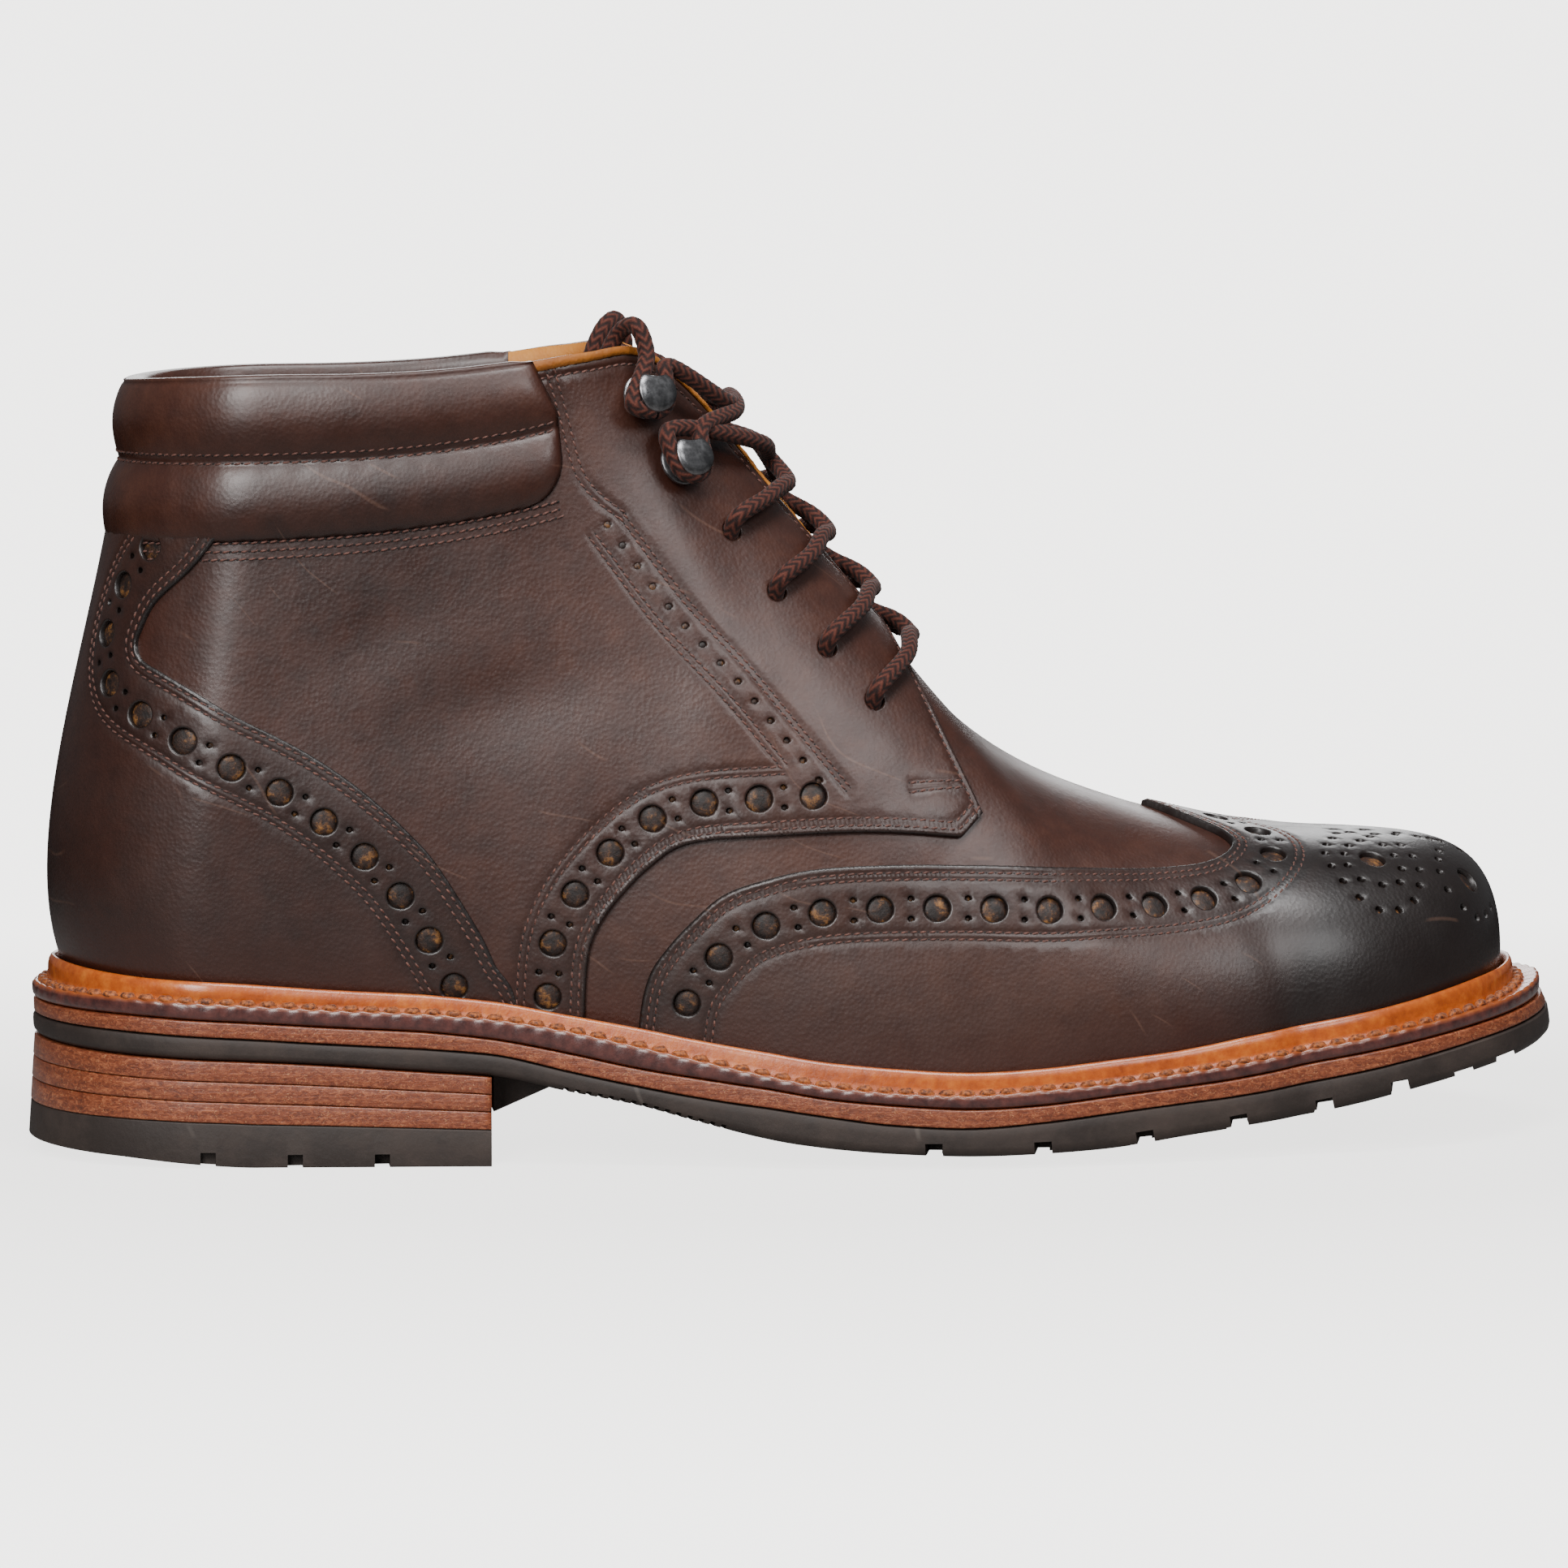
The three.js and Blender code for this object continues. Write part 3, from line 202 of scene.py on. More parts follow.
def table_at(table, columns, x):
    at = (np.asarray(x, float) - HEEL_X) / LAST_LENGTH
    starts = table[:, 0]
    i = np.clip(np.searchsorted(starts, at, side="right") - 1, 0, len(table) - 2)
    part = (at - starts[i]) / (starts[i + 1] - starts[i])
    values = through(table, np.clip(i + part, 0, len(table) - 1)) * TOE_HEIGHT
    return {name: values[..., k] for k, name in enumerate(columns)}


def profile_at(x):
    return table_at(PROFILE, PROFILE_COLUMNS, x)


def heel_at(x):
    return table_at(HEEL_PROFILE, HEEL_COLUMNS, x)


def ground_at(x):
    return np.maximum(heel_at(x)["ground"], 0)


def tread_at(x):
    return np.maximum(profile_at(x)["tread"], 0)


def section_at(place):
    values = through(SECTIONS, np.asarray(place, float))
    return {name: values[..., k] for k, name in enumerate(SECTION_COLUMNS)}


def toe_swing(x):
    share = np.clip(((x - HEEL_X) / LAST_LENGTH - 0.375) / 0.605, 0, 1)
    return TOE_SWING * share * share * (3 - 2 * share)


def last_point(place, up, side):
    """A point of the upper's outside: up runs from 0 at the welt to 1 at the collar, throat or ridge."""
    place, up = np.broadcast_arrays(np.asarray(place, float), np.asarray(up, float))
    s = section_at(place)
    heading = np.radians(s["turn"])
    dx = np.sin(heading)
    dy = side * np.cos(heading)
    foot = s["outer" if side == LATERAL else "inner"] * HALF_BALL
    belly = s["belly_outer" if side == LATERAL else "belly_inner"] * HALF_BALL
    shoulder = s["shoulder"] * HALF_BALL
    top = np.maximum(s["top"], 0) * HALF_BALL
    foot_x = HEEL_X + LAST_LENGTH * s["at"]
    top_x = HEEL_X + LAST_LENGTH * s["top_at"]
    low = profile_at(foot_x + dx * foot)["feather"] - FEATHER_DROP
    high = TOE_HEIGHT + VAMP_RISE + LEG_RISE * s["climb"]
    corners = (
        np.stack([foot_x + dx * foot, dy * foot, low], -1),
        np.stack([foot_x + dx * belly, dy * belly, low + (high - low) * s["belly_up"]], -1),
        np.stack([top_x + dx * shoulder, dy * shoulder, low + (high - low) * s["shoulder_up"]], -1),
        np.stack([top_x + dx * top, dy * top, high], -1),
    )
    u = up[..., None]
    w = 1 - u
    point = corners[0] * w**3 + 3 * corners[1] * w * w * u + 3 * corners[2] * w * u * u + corners[3] * u**3
    point[..., 1] += toe_swing(point[..., 0])
    return point


def unit(vectors):
    return vectors / np.maximum(np.linalg.norm(vectors, axis=-1, keepdims=True), 1e-12)


def lengths_along(path):
    """The distance from the start of a path to each of its points."""
    return np.concatenate([[0], np.cumsum(np.linalg.norm(np.diff(path, axis=0), axis=1))])


def slopes(place, up, side):
    """The skin's change along the sections and up them."""
    step = 0.01
    a = np.clip(place, 0, LAST_PLACE - 2 * step)
    b = np.clip(up, 0, 1 - 2 * step)
    here = last_point(a, b, side)
    along = (last_point(a + step, b, side) - here) / step
    rise = (last_point(a, b + step, side) - here) / step
    return along, rise


def one_side_normal(place, up, side):
    along, rise = slopes(place, up, side)
    return unit(np.cross(along, rise) * -side)


def skin_normal(place, up, side):
    """The outward normal, shared by both sides along the heel seam, the toe and the closed ridge."""
    place, up = np.broadcast_arrays(np.asarray(place, float), np.asarray(up, float))
    normal = one_side_normal(place, up, side)
    ends = (place < SEAM_SHARE) | (place > LAST_PLACE - SEAM_SHARE)
    seam = ends | ((up > 1 - SEAM_SHARE) & (place >= CLOSED_FROM))
    other = one_side_normal(place, up, -side)
    return np.where(seam[..., None], unit(normal + other), normal)


def ups_at_height(place, side, height, highest):
    """The shares of the way up, just below and just above the point where the last reaches a height."""
    low = np.zeros_like(place)
    high = np.full_like(place, highest)
    for _ in range(HALVINGS):
        middle = (low + high) / 2
        below = last_point(place, middle, side)[..., 2] < height
        low = np.where(below, middle, low)
        high = np.where(below, high, middle)
    return low, high


# Soft troughs and ridges of the skin: the middle and half length of each in x and z, its lean in
# degrees, its half width, and its depth outwards (negative for a trough)
CREASES = [
    (186, 62, 13, 62, 5.5, -0.55),
    (197, 57, 12, 58, 5.0, 0.3),
    (176, 74, 12, 40, 6.0, -0.4),
    (163, 46, 16, 20, 7.0, -0.35),
    (96, 92, 22, 12, 9.0, -0.7),
    (70, 104, 16, 25, 8.0, -0.5),
    (60, 70, 18, -35, 9.0, 0.6),
    (118, 66, 14, 75, 8.0, -0.45),
    (142, 94, 14, 55, 8.0, 0.4),
    (40, 58, 16, 80, 9.0, -0.5),
]


def relief(points):
    """How far the worn leather stands off the last, in millimetres."""
    total = np.zeros(points.shape[:-1])
    for x, z, reach, lean, width, depth in CREASES:
        angle = math.radians(lean)
        dx = points[..., 0] - x
        dz = points[..., 2] - z
        along = dx * math.cos(angle) + dz * math.sin(angle)
        across = -dx * math.sin(angle) + dz * math.cos(angle)
        total += depth * np.exp(-(along / reach) ** 2 - (across / width) ** 2)
    return total


def skin(place, up, side, out=0.0):
    """Points at a height over the upper's skin."""
    place, up = np.broadcast_arrays(np.asarray(place, float), np.asarray(up, float))
    base = last_point(place, up, side)
    lift = np.asarray(out, float) + relief(base)
    return base + skin_normal(place, up, side) * lift[..., None]


# Meshes and pieces


def smooth_shade(mesh):
    mesh.polygons.foreach_set("use_smooth", [True] * len(mesh.polygons))


def turned_out(points, faces):
    """Faces of closed bodies, all turned over if they enclose a negative volume."""
    first = np.array([face[:3] for face in faces])
    fans = [np.stack([face[0], face[k], face[k + 1]]) for face in faces if len(face) > 3
            for k in range(2, len(face) - 1)]
    triangles = np.vstack([first, *([np.array(fans)] if fans else [])])
    a, b, c = (points[triangles[:, k]] for k in range(3))
    if (a * np.cross(b, c)).sum() < 0:
        return [list(face)[::-1] for face in faces]
    return faces


def corners_round(count):
    """Even turns round a circle, in radians."""
    return 2 * math.pi * np.arange(count) / count


def tube_faces(rows, columns):
    """Quads round a body of rows, closed by a cap at both ends."""
    count = rows * columns
    quads = grid_faces(rows, columns, wrap_columns=True).tolist()
    return quads + [list(range(columns)), list(range(count - columns, count))[::-1]]


def metres(points):
    return (np.asarray(points, float) - np.array([HEEL_REST_X, 0, 0])) * MM


def new_piece(name, points, faces, material, replaced=(), attributes=None, uv=None):
    """A piece of the boot from points in the last's frame: it rides on the body."""
    points = np.asarray(points, float)
    if uv is None:
        faces = turned_out(points, faces)
    mesh = bpy.data.meshes.new(name)
    mesh.from_pydata(metres(points).tolist(), [], [list(map(int, f)) for f in faces])
    mesh.materials.append(material)
    smooth_shade(mesh)
    for key, values in (attributes or {}).items():
        layer = mesh.attributes.new(key, "FLOAT", "POINT")
        layer.data.foreach_set("value", np.asarray(values, np.float32))
    if uv is not None:
        layer = mesh.uv_layers.new(name="Along")
        layer.data.foreach_set("uv", np.asarray(uv, np.float32).ravel())
    mesh.validate()
    piece = bpy.data.objects.new(name, mesh)
    bpy.context.scene.collection.objects.link(piece)
    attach(piece, "root")
    if replaced:
        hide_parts(*replaced)
    return piece


def grid_faces(rows, columns, start=0, wrap_rows=False, wrap_columns=False, flip=False):
    """Quads over a grid of points that is stored row by row."""
    i = np.arange(rows if wrap_rows else rows - 1)
    j = np.arange(columns if wrap_columns else columns - 1)
    i, j = (g.ravel() for g in np.meshgrid(i, j, indexing="ij"))
    i2 = (i + 1) % rows
    j2 = (j + 1) % columns
    quads = np.stack([i * columns + j, i2 * columns + j, i2 * columns + j2, i * columns + j2], -1) + start
    return quads[:, ::-1] if flip else quads


def joined(points, faces, attributes=None, tolerance=1e-3):
    """Points that coincide become one, and faces that collapse go."""
    keys = np.round(np.asarray(points) / tolerance).astype(np.int64)
    _, first, inverse = np.unique(keys, axis=0, return_index=True, return_inverse=True)
    inverse = inverse.ravel()
    kept = []
    for face in faces:
        corners = []
        for k in inverse[list(face)]:
            if not corners or corners[-1] != k:
                corners.append(int(k))
        if len(corners) > 1 and corners[0] == corners[-1]:
            corners.pop()
        if len(set(corners)) == len(corners) and len(corners) > 2:
            kept.append(corners)
    picked = {key: np.asarray(values)[first] for key, values in (attributes or {}).items()}
    return np.asarray(points)[first], kept, picked


def walled(outer, inner, faces):
    """A closed wall between two sheets with the same faces: the outer one, and the inner one reversed."""
    count = len(outer)
    edges = {}
    for face in faces:
        for a, b in zip(face, list(face[1:]) + [face[0]]):
            if (b, a) in edges:
                del edges[(b, a)]
            else:
                edges[(a, b)] = True
    back = [[k + count for k in reversed(list(face))] for face in faces]
    rim = [[b, a, a + count, b + count] for a, b in edges]
    return np.vstack([outer, inner]), [list(f) for f in faces] + back + rim


# Camera: the photograph's angle, from the outer side, a little behind and above

CAMERA_TURN = math.radians(6.5)
CAMERA_RISE = math.radians(5.7)
CAMERA_DISTANCE = 1.346
CAMERA_TARGET = Vector((0.084, 0, 0.0718))
PHOTO_SIZE = 1932
PIXELS_PER_RADIAN = 6.03 * 1346
SENSOR = 36


def make_camera():
    data = bpy.data.cameras.new("camera")
    data.sensor_width = SENSOR
    data.lens = SENSOR * PIXELS_PER_RADIAN / PHOTO_SIZE
    data.clip_start = 0.05
    camera = bpy.data.objects.new("camera", data)
    bpy.context.scene.collection.objects.link(camera)
    flat = math.cos(CAMERA_RISE)
    back = Vector((-math.sin(CAMERA_TURN) * flat, -math.cos(CAMERA_TURN) * flat, math.sin(CAMERA_RISE)))
    camera.location = CAMERA_TARGET + back * CAMERA_DISTANCE
    camera.rotation_mode = "QUATERNION"
    camera.rotation_quaternion = (-back).to_track_quat("-Z", "Y")
    bpy.context.scene.camera = camera


# Materials


class Paint:
    """A procedural material, built node by node on the object's own coordinates."""

    def __init__(self, name):
        self.material = bpy.data.materials.new(name)
        self.material.use_nodes = True
        self.tree = self.material.node_tree
        self.shader = self.tree.nodes["Principled BSDF"]
        self.place = self.tree.nodes.new("ShaderNodeTexCoord").outputs["Object"]

    def join(self, value, socket):
        if isinstance(value, bpy.types.NodeSocket):
            self.tree.links.new(value, socket)
        else:
            socket.default_value = value

    def node(self, kind, inputs=(), **settings):
        node = self.tree.nodes.new("ShaderNode" + kind)
        for key, value in settings.items():
            setattr(node, key, value)
        for key, value in dict(inputs).items():
            self.join(value, node.inputs[key])
        return node

    def stretched(self, scale, turn=(0, 0, 0)):
        inputs = {"Vector": self.place, "Scale": scale, "Rotation": turn}
        return self.node("Mapping", inputs).outputs[0]

    def noise(self, scale, detail=4.0, roughness=0.55, distortion=0.0, place=None):
        inputs = {"Vector": self.place if place is None else place, "Scale": scale, "Detail": detail,
                  "Roughness": roughness, "Distortion": distortion}
        return self.node("TexNoise", inputs).outputs["Fac"]

    def cells(self, scale, feature="F1", smoothness=None):
        inputs = {"Vector": self.place, "Scale": scale}
        if smoothness is not None:
            inputs["Smoothness"] = smoothness
        return self.node("TexVoronoi", inputs, feature=feature).outputs["Distance"]

    def ramp(self, factor, *stops):
        node = self.node("ValToRGB", {"Fac": factor})
        elements = node.color_ramp.elements
        while len(elements) < len(stops):
            elements.new(0.5)
        for element, (position, value) in zip(elements, stops):
            element.position = position
            element.color = (value, value, value, 1) if isinstance(value, (int, float)) else (*value, 1)
        return node.outputs["Color"]

    def mix(self, factor, a, b):
        node = self.node("Mix", data_type="RGBA")
        for name, value in (("Factor_Float", factor), ("A_Color", a), ("B_Color", b)):
            socket = next(s for s in node.inputs if s.identifier == name)
            self.join((*value, 1) if isinstance(value, tuple) else value, socket)
        return next(s for s in node.outputs if s.identifier == "Result_Color")

    def math(self, operation, a, b=0.0, clamp=False):
        node = self.node("Math", operation=operation, use_clamp=clamp)
        self.join(a, node.inputs[0])
        self.join(b, node.inputs[1])
        return node.outputs[0]

    def range(self, value, low, high, to_low=0.0, to_high=1.0):
        inputs = {"Value": value, "From Min": low, "From Max": high, "To Min": to_low, "To Max": to_high}
        return self.node("MapRange", inputs).outputs[0]

    def attribute(self, name):
        return self.node("Attribute", attribute_name=name).outputs["Fac"]

    def bump(self, height, distance, strength=1.0, normal=None):
        inputs = {"Height": height, "Distance": distance, "Strength": strength}
        if normal is not None:
            inputs["Normal"] = normal
        return self.node("Bump", inputs).outputs[0]

    def finish(self, **values):
        for key, value in values.items():
            socket = self.shader.inputs[key.replace("_", " ")]
            self.join((*value, 1) if isinstance(value, tuple) else value, socket)
        return self.material


def rgb(red, green, blue):
    """A colour as seen, 0 to 255, in the linear values that a shader takes."""
    return tuple(v / 255 / 12.92 if v <= 10 else ((v / 255 + 0.055) / 1.055) ** 2.4
                 for v in (red, green, blue))


LEATHER_DARK = rgb(36, 15, 9)
LEATHER_BROWN = rgb(59, 29, 19)
LEATHER_LIGHT = rgb(80, 45, 31)
LEATHER_RED = rgb(76, 29, 11)


def hairline(paint, scale, turn, cover):
    """A few thin curved scratches: narrow bands of a bent wave, kept only in scattered patches."""
    place = paint.stretched((1, 1, 1), turn)
    wave = paint.node("TexWave", {"Vector": place, "Scale": scale, "Distortion": 9, "Detail": 1.5,
                                  "Detail Scale": 0.8}, wave_type="BANDS").outputs["Fac"]
    line = paint.range(wave, 0.9955, 1.0)
    patch = paint.range(paint.noise(38, 2, 0.5, place=place), cover, cover + 0.03)
    return paint.math("MULTIPLY", line, patch)


def leather(name, depth=0.0, shine=0.4):
    """Waxed pull-up calf: fine pores, mottled browns, darker where it is burnished and where shade is painted
    in.
    """
    p = Paint(name)
    cloud = p.noise(11, 3, 0.5)
    mottle = p.noise(190, 6, 0.65)
    tone = p.math("ADD", p.math("MULTIPLY", cloud, 0.62), p.math("MULTIPLY", mottle, 0.38))
    colour = p.ramp(tone, (0.3, LEATHER_DARK), (0.5, LEATHER_BROWN), (0.7, LEATHER_LIGHT))
    red = p.range(p.attribute("warm"), 0.0, 1.0, 0.0, 0.75)
    colour = p.mix(red, colour, LEATHER_RED)
    # The burnish attribute darkens towards near-black: real burnish, and painted shade in the collar's
    # creases, inside the punched holes and just over the welt.
    dark = p.math("ADD", p.attribute("burnish_and_shade"), depth, clamp=True)
    colour = p.mix(p.math("MULTIPLY", dark, 0.94), colour, rgb(13, 7, 6))
    scratches = p.math("ADD", hairline(p, 27, (0.4, 0.9, 0.2), 0.6), hairline(p, 21, (1.3, 0.2, 1.1), 0.62))
    colour = p.mix(p.math("MULTIPLY", scratches, 0.13), colour, rgb(150, 112, 92))
    pores = p.cells(1250, "SMOOTH_F1", smoothness=0.35)
    grain = p.noise(620, 5, 0.62)
    height = p.math("ADD", p.math("MULTIPLY", pores, 0.6), p.math("MULTIPLY", grain, 0.8))
    normal = p.bump(height, 0.00016, 0.55)
    normal = p.bump(cloud, 0.0012, 0.35, normal)
    rough = p.range(p.noise(90, 4, 0.6), 0.3, 0.7, 0.4, 0.54)
    return p.finish(Base_Color=colour, Roughness=rough, Normal=normal, Coat_Weight=shine, Coat_Roughness=0.3,
                    Specular_IOR_Level=0.5)


def sole_leather(name):
    """Dyed leather edge: pressed fibres, fine level lines and pale specks."""
    p = Paint(name)
    fibres = p.noise(900, 5, 0.7, 1.2, place=p.stretched((0.7, 0.7, 1.5)))
    lines = p.noise(260, 3, 0.6, place=p.stretched((0.12, 0.12, 4.5)))
    cloud = p.noise(22, 4, 0.6)
    tone = p.math("ADD", p.math("MULTIPLY", fibres, 0.8), p.math("MULTIPLY", lines, 0.2))
    colour = p.ramp(tone, (0.36, rgb(84, 36, 18)), (0.5, rgb(124, 60, 32)), (0.64, rgb(170, 100, 64)))
    colour = p.mix(p.range(cloud, 0.35, 0.7, 0.0, 0.35), colour, rgb(116, 58, 38))
    specks = p.range(p.noise(1500, 2, 0.5, 2.0), 0.63, 0.68, 0.0, 0.45)
    colour = p.mix(specks, colour, rgb(206, 150, 104))
    height = p.math("ADD", fibres, p.math("MULTIPLY", lines, 0.9))
    return p.finish(Base_Color=colour, Roughness=0.42, Normal=p.bump(height, 0.00025, 0.5), Coat_Weight=0.35,
                    Coat_Roughness=0.25)


def storm_leather():
    """Glossy tan welt, burgundy on its outer edge, with a dark trodden seam."""
    p = Paint("storm_welt")
    edge = p.attribute("edge")
    cloud = p.noise(40, 4, 0.6)
    mottle = p.noise(420, 5, 0.65)
    tone = p.math("ADD", p.math("MULTIPLY", cloud, 0.5), p.math("MULTIPLY", mottle, 0.5))
    colour = p.ramp(tone, (0.34, rgb(132, 54, 10)), (0.5, rgb(176, 82, 18)), (0.66, rgb(204, 112, 36)))
    colour = p.mix(p.range(edge, 0.35, 0.6, 0.0, 0.55), colour, rgb(120, 62, 32))
    burgundy = p.mix(p.range(mottle, 0.35, 0.7), rgb(58, 28, 27), rgb(98, 54, 48))
    colour = p.mix(p.range(edge, 0.8, 1.0), colour, burgundy)
    height = p.math("ADD", mottle, p.math("MULTIPLY", p.noise(1300, 3, 0.6), 0.5))
    return p.finish(Base_Color=colour, Roughness=0.34, Normal=p.bump(height, 0.00018, 0.5), Coat_Weight=0.5,
                    Coat_Roughness=0.22)


def sole_rubber():
    """Matt dark rubber with dust and pale lint."""
    p = Paint("tread_rubber")
    dust = p.noise(60, 6, 0.7)
    colour = p.mix(p.range(dust, 0.42, 0.75), rgb(42, 33, 29), rgb(66, 54, 48))
    lint = p.math("ADD", hairline(p, 12, (0.7, 0.1, 0.4), 0.6), hairline(p, 10, (0.1, 1.2, 0.9), 0.6))
    colour = p.mix(p.math("MULTIPLY", lint, 0.12), colour, rgb(150, 140, 132))
    height = p.math("ADD", p.noise(700, 5, 0.65), p.math("MULTIPLY", p.noise(90, 3, 0.5), 0.6))
    return p.finish(Base_Color=colour, Roughness=p.range(dust, 0.3, 0.8, 0.55, 0.8),
                    Normal=p.bump(height, 0.0002, 0.5))


def lining_leather():
    p = Paint("tan_lining")
    cloud = p.noise(30, 5, 0.6)
    colour = p.ramp(cloud, (0.35, rgb(128, 70, 18)), (0.52, rgb(176, 108, 34)), (0.7, rgb(200, 138, 58)))
    height = p.math("ADD", p.noise(1100, 4, 0.6), p.cells(1500))
    return p.finish(Base_Color=colour, Roughness=0.6, Normal=p.bump(height, 0.00012, 0.5))


def thread(name, dark, light):
    """Twisted waxed thread: a fine slanted twist across each stitch."""
    p = Paint(name)
    twist = p.noise(1500, 3, 0.6)
    colour = p.mix(p.range(twist, 0.35, 0.68), dark, light)
    return p.finish(Base_Color=colour, Roughness=0.6, Normal=p.bump(twist, 0.0002, 0.7), Sheen_Weight=0.1)


BRAID_COLUMNS = 4
BRAID_PITCH = 1.9
BRAID_SLANT = 0.85


def braid():
    """Round braid: the same chevrons as the mesh, from the tube's own along and around, and loose fibres; the
    chevrons are painted darker in their troughs and lighter on their crests, as shade and highlight.
    """
    p = Paint("braided_lace")
    uv = p.node("UVMap", uv_map="Along").outputs[0]
    split = p.node("SeparateXYZ", {"Vector": uv})
    columns = p.math("FRACT", p.math("MULTIPLY", split.outputs[0], BRAID_COLUMNS))
    column = p.math("ABSOLUTE", p.math("SUBTRACT", p.math("MULTIPLY", columns, 2.0), 1.0))
    turn = p.math("ADD", split.outputs[1], p.math("MULTIPLY", column, BRAID_SLANT))
    plait = p.math("SINE", p.math("MULTIPLY", turn, 2 * math.pi))
    fibre = p.noise(2400, 4, 0.6)
    # Painted shade and highlight: the colour follows the plaits' relief, dark in the troughs, light on the
    # crests.
    tone = p.math("ADD", p.math("MULTIPLY", plait, 0.32), fibre)
    colour = p.ramp(tone, (0.2, rgb(26, 10, 7)), (0.55, rgb(62, 27, 19)), (0.95, rgb(94, 48, 36)))
    height = p.math("ADD", p.math("MULTIPLY", plait, 0.4), p.math("MULTIPLY", fibre, 0.6))
    return p.finish(Base_Color=colour, Roughness=0.8, Normal=p.bump(height, 0.00012, 0.6), Sheen_Weight=0.08,
                    Specular_IOR_Level=0.3)


def gunmetal():
    """Smoked dark plate, worn paler in patches."""
    p = Paint("gunmetal_plate")
    wear = p.noise(500, 5, 0.7)
    colour = p.mix(p.range(wear, 0.4, 0.75), rgb(112, 112, 114), rgb(158, 158, 160))
    return p.finish(Base_Color=colour, Metallic=1.0, Roughness=p.range(wear, 0.3, 0.8, 0.3, 0.46),
                    Normal=p.bump(wear, 0.00006, 0.4))


# Painted shadow: near-black lenses over the stitched rows stand for the shade in the needle holes.
def shadow_black():
    p = Paint("needle_hole_shadow")
    colour = p.mix(p.noise(900, 3, 0.5), rgb(14, 8, 7), rgb(26, 16, 14))
    return p.finish(Base_Color=colour, Roughness=0.8)


def shaded_hole_leather():
    """The dark underlay in the punched holes, painted darker still for the shade inside them, tan where the
    punch cut it.
    """
    p = Paint("hole_underlay_and_shade")
    cloud = p.noise(420, 5, 0.7)
    colour = p.ramp(cloud, (0.42, rgb(22, 10, 6)), (0.54, rgb(52, 30, 18)), (0.7, rgb(146, 98, 46)))
    return p.finish(Base_Color=colour, Roughness=0.6, Normal=p.bump(cloud, 0.0004, 0.8), Coat_Weight=0.12,
                    Coat_Roughness=0.3)


MATERIALS = {
    "upper": leather("calf_brown"),
    "cap": leather("calf_burnished", 0.16, 0.5),
    "sole": sole_leather("sole_edge"),
    "stack": sole_leather("heel_stack"),
    "storm": storm_leather(),
    "rubber": sole_rubber(),
    "lining": lining_leather(),
    "thread": thread("waxed_thread", rgb(56, 28, 22), rgb(112, 70, 58)),
    "welt_thread": thread("welt_thread", rgb(70, 28, 8), rgb(178, 96, 36)),
    "lace": braid(),
    "metal": gunmetal(),
    "pit_shadow": shadow_black(),
    # Hole floors: painted shade inside the punched holes.
    "floor": shaded_hole_leather(),
}


# Laces: the same routes as the imported part's cords

LACE_LIFT = 2 * CLEARANCE + OVERLAY_WALL + LACE_DIAMETER / 2
HOOK_BASE = 2 * CLEARANCE + OVERLAY_WALL + 0.3
HOOK_LACE = HOOK_BASE + HOOK_PLATE_THICKNESS + CLEARANCE + LACE_DIAMETER / 2
BEND = HOOK_WIRE_RADIUS + LACE_DIAMETER / 2 + CLEARANCE
BRAID_SIDES = 28
BRAID_STEP = 0.36
TIP_SIDES = 20
TIP_SHAPE = [(0.0, -4.6), (1.0, -4.6), (1.45, -4.2), (1.5, -3.2), (1.5, 0.6), (1.72, 0.9), (1.78, 2.2)]


def bare_point(place, up, side, out):
    """A point over the last itself, without its creases."""
    return last_point(place, up, side) + one_side_normal(place, up, side) * out


def throat_middle(place, lift):
    middle = (last_point(place, 1.0, LATERAL) + last_point(place, 1.0, MEDIAL)) / 2
    forward = one_side_normal(place, 1.0, LATERAL) * np.array([1, 0, 1])
    return middle + unit(forward) * lift


def hook_frame(hook, side):
    place, up = hook
    centre = last_point(place, up, side)
    out = one_side_normal(place, up, side)
    inward = unit(last_point(place, up + 0.03, side) - centre)
    climb = np.cross(out, inward) * -side
    return centre, out, inward, climb if climb[2] > 0 else -climb


def hook_point(hook, side, inward, climb, out=HOOK_LACE):
    centre, up, into, rise = hook_frame(hook, side)
    return centre + up * out + into * inward + rise * climb


def smooth_curve(points, step):
    """Centripetal curve through points, in even steps."""
    p = np.array(points, float)
    p = np.vstack([2 * p[0] - p[1], p, 2 * p[-1] - p[-2]])
    dense = []
    for i in range(len(p) - 3):
        a, b, c, d = p[i:i + 4]
        t0 = 0.0
        t1 = t0 + max(np.linalg.norm(b - a), 1e-6) ** 0.5
        t2 = t1 + max(np.linalg.norm(c - b), 1e-6) ** 0.5
        t3 = t2 + max(np.linalg.norm(d - c), 1e-6) ** 0.5
        t = np.linspace(t1, t2, 40, endpoint=False)[:, None]
        ab = (t1 - t) / (t1 - t0) * a + (t - t0) / (t1 - t0) * b
        bc = (t2 - t) / (t2 - t1) * b + (t - t1) / (t2 - t1) * c
        cd = (t3 - t) / (t3 - t2) * c + (t - t2) / (t3 - t2) * d
        abc = (t2 - t) / (t2 - t0) * ab + (t - t0) / (t2 - t0) * bc
        bcd = (t3 - t) / (t3 - t1) * bc + (t - t1) / (t3 - t1) * cd
        dense.append((t2 - t) / (t2 - t1) * abc + (t - t1) / (t2 - t1) * bcd)
    dense = np.vstack(dense + [p[-2:-1]])
    return even_steps(dense, step)


def even_steps(path, step):
    length = lengths_along(path)
    count = max(2, int(round(length[-1] / step)) + 1)
    spots = np.linspace(0, length[-1], count)
    return np.stack([np.interp(spots, length, path[:, k]) for k in range(path.shape[1])], -1)


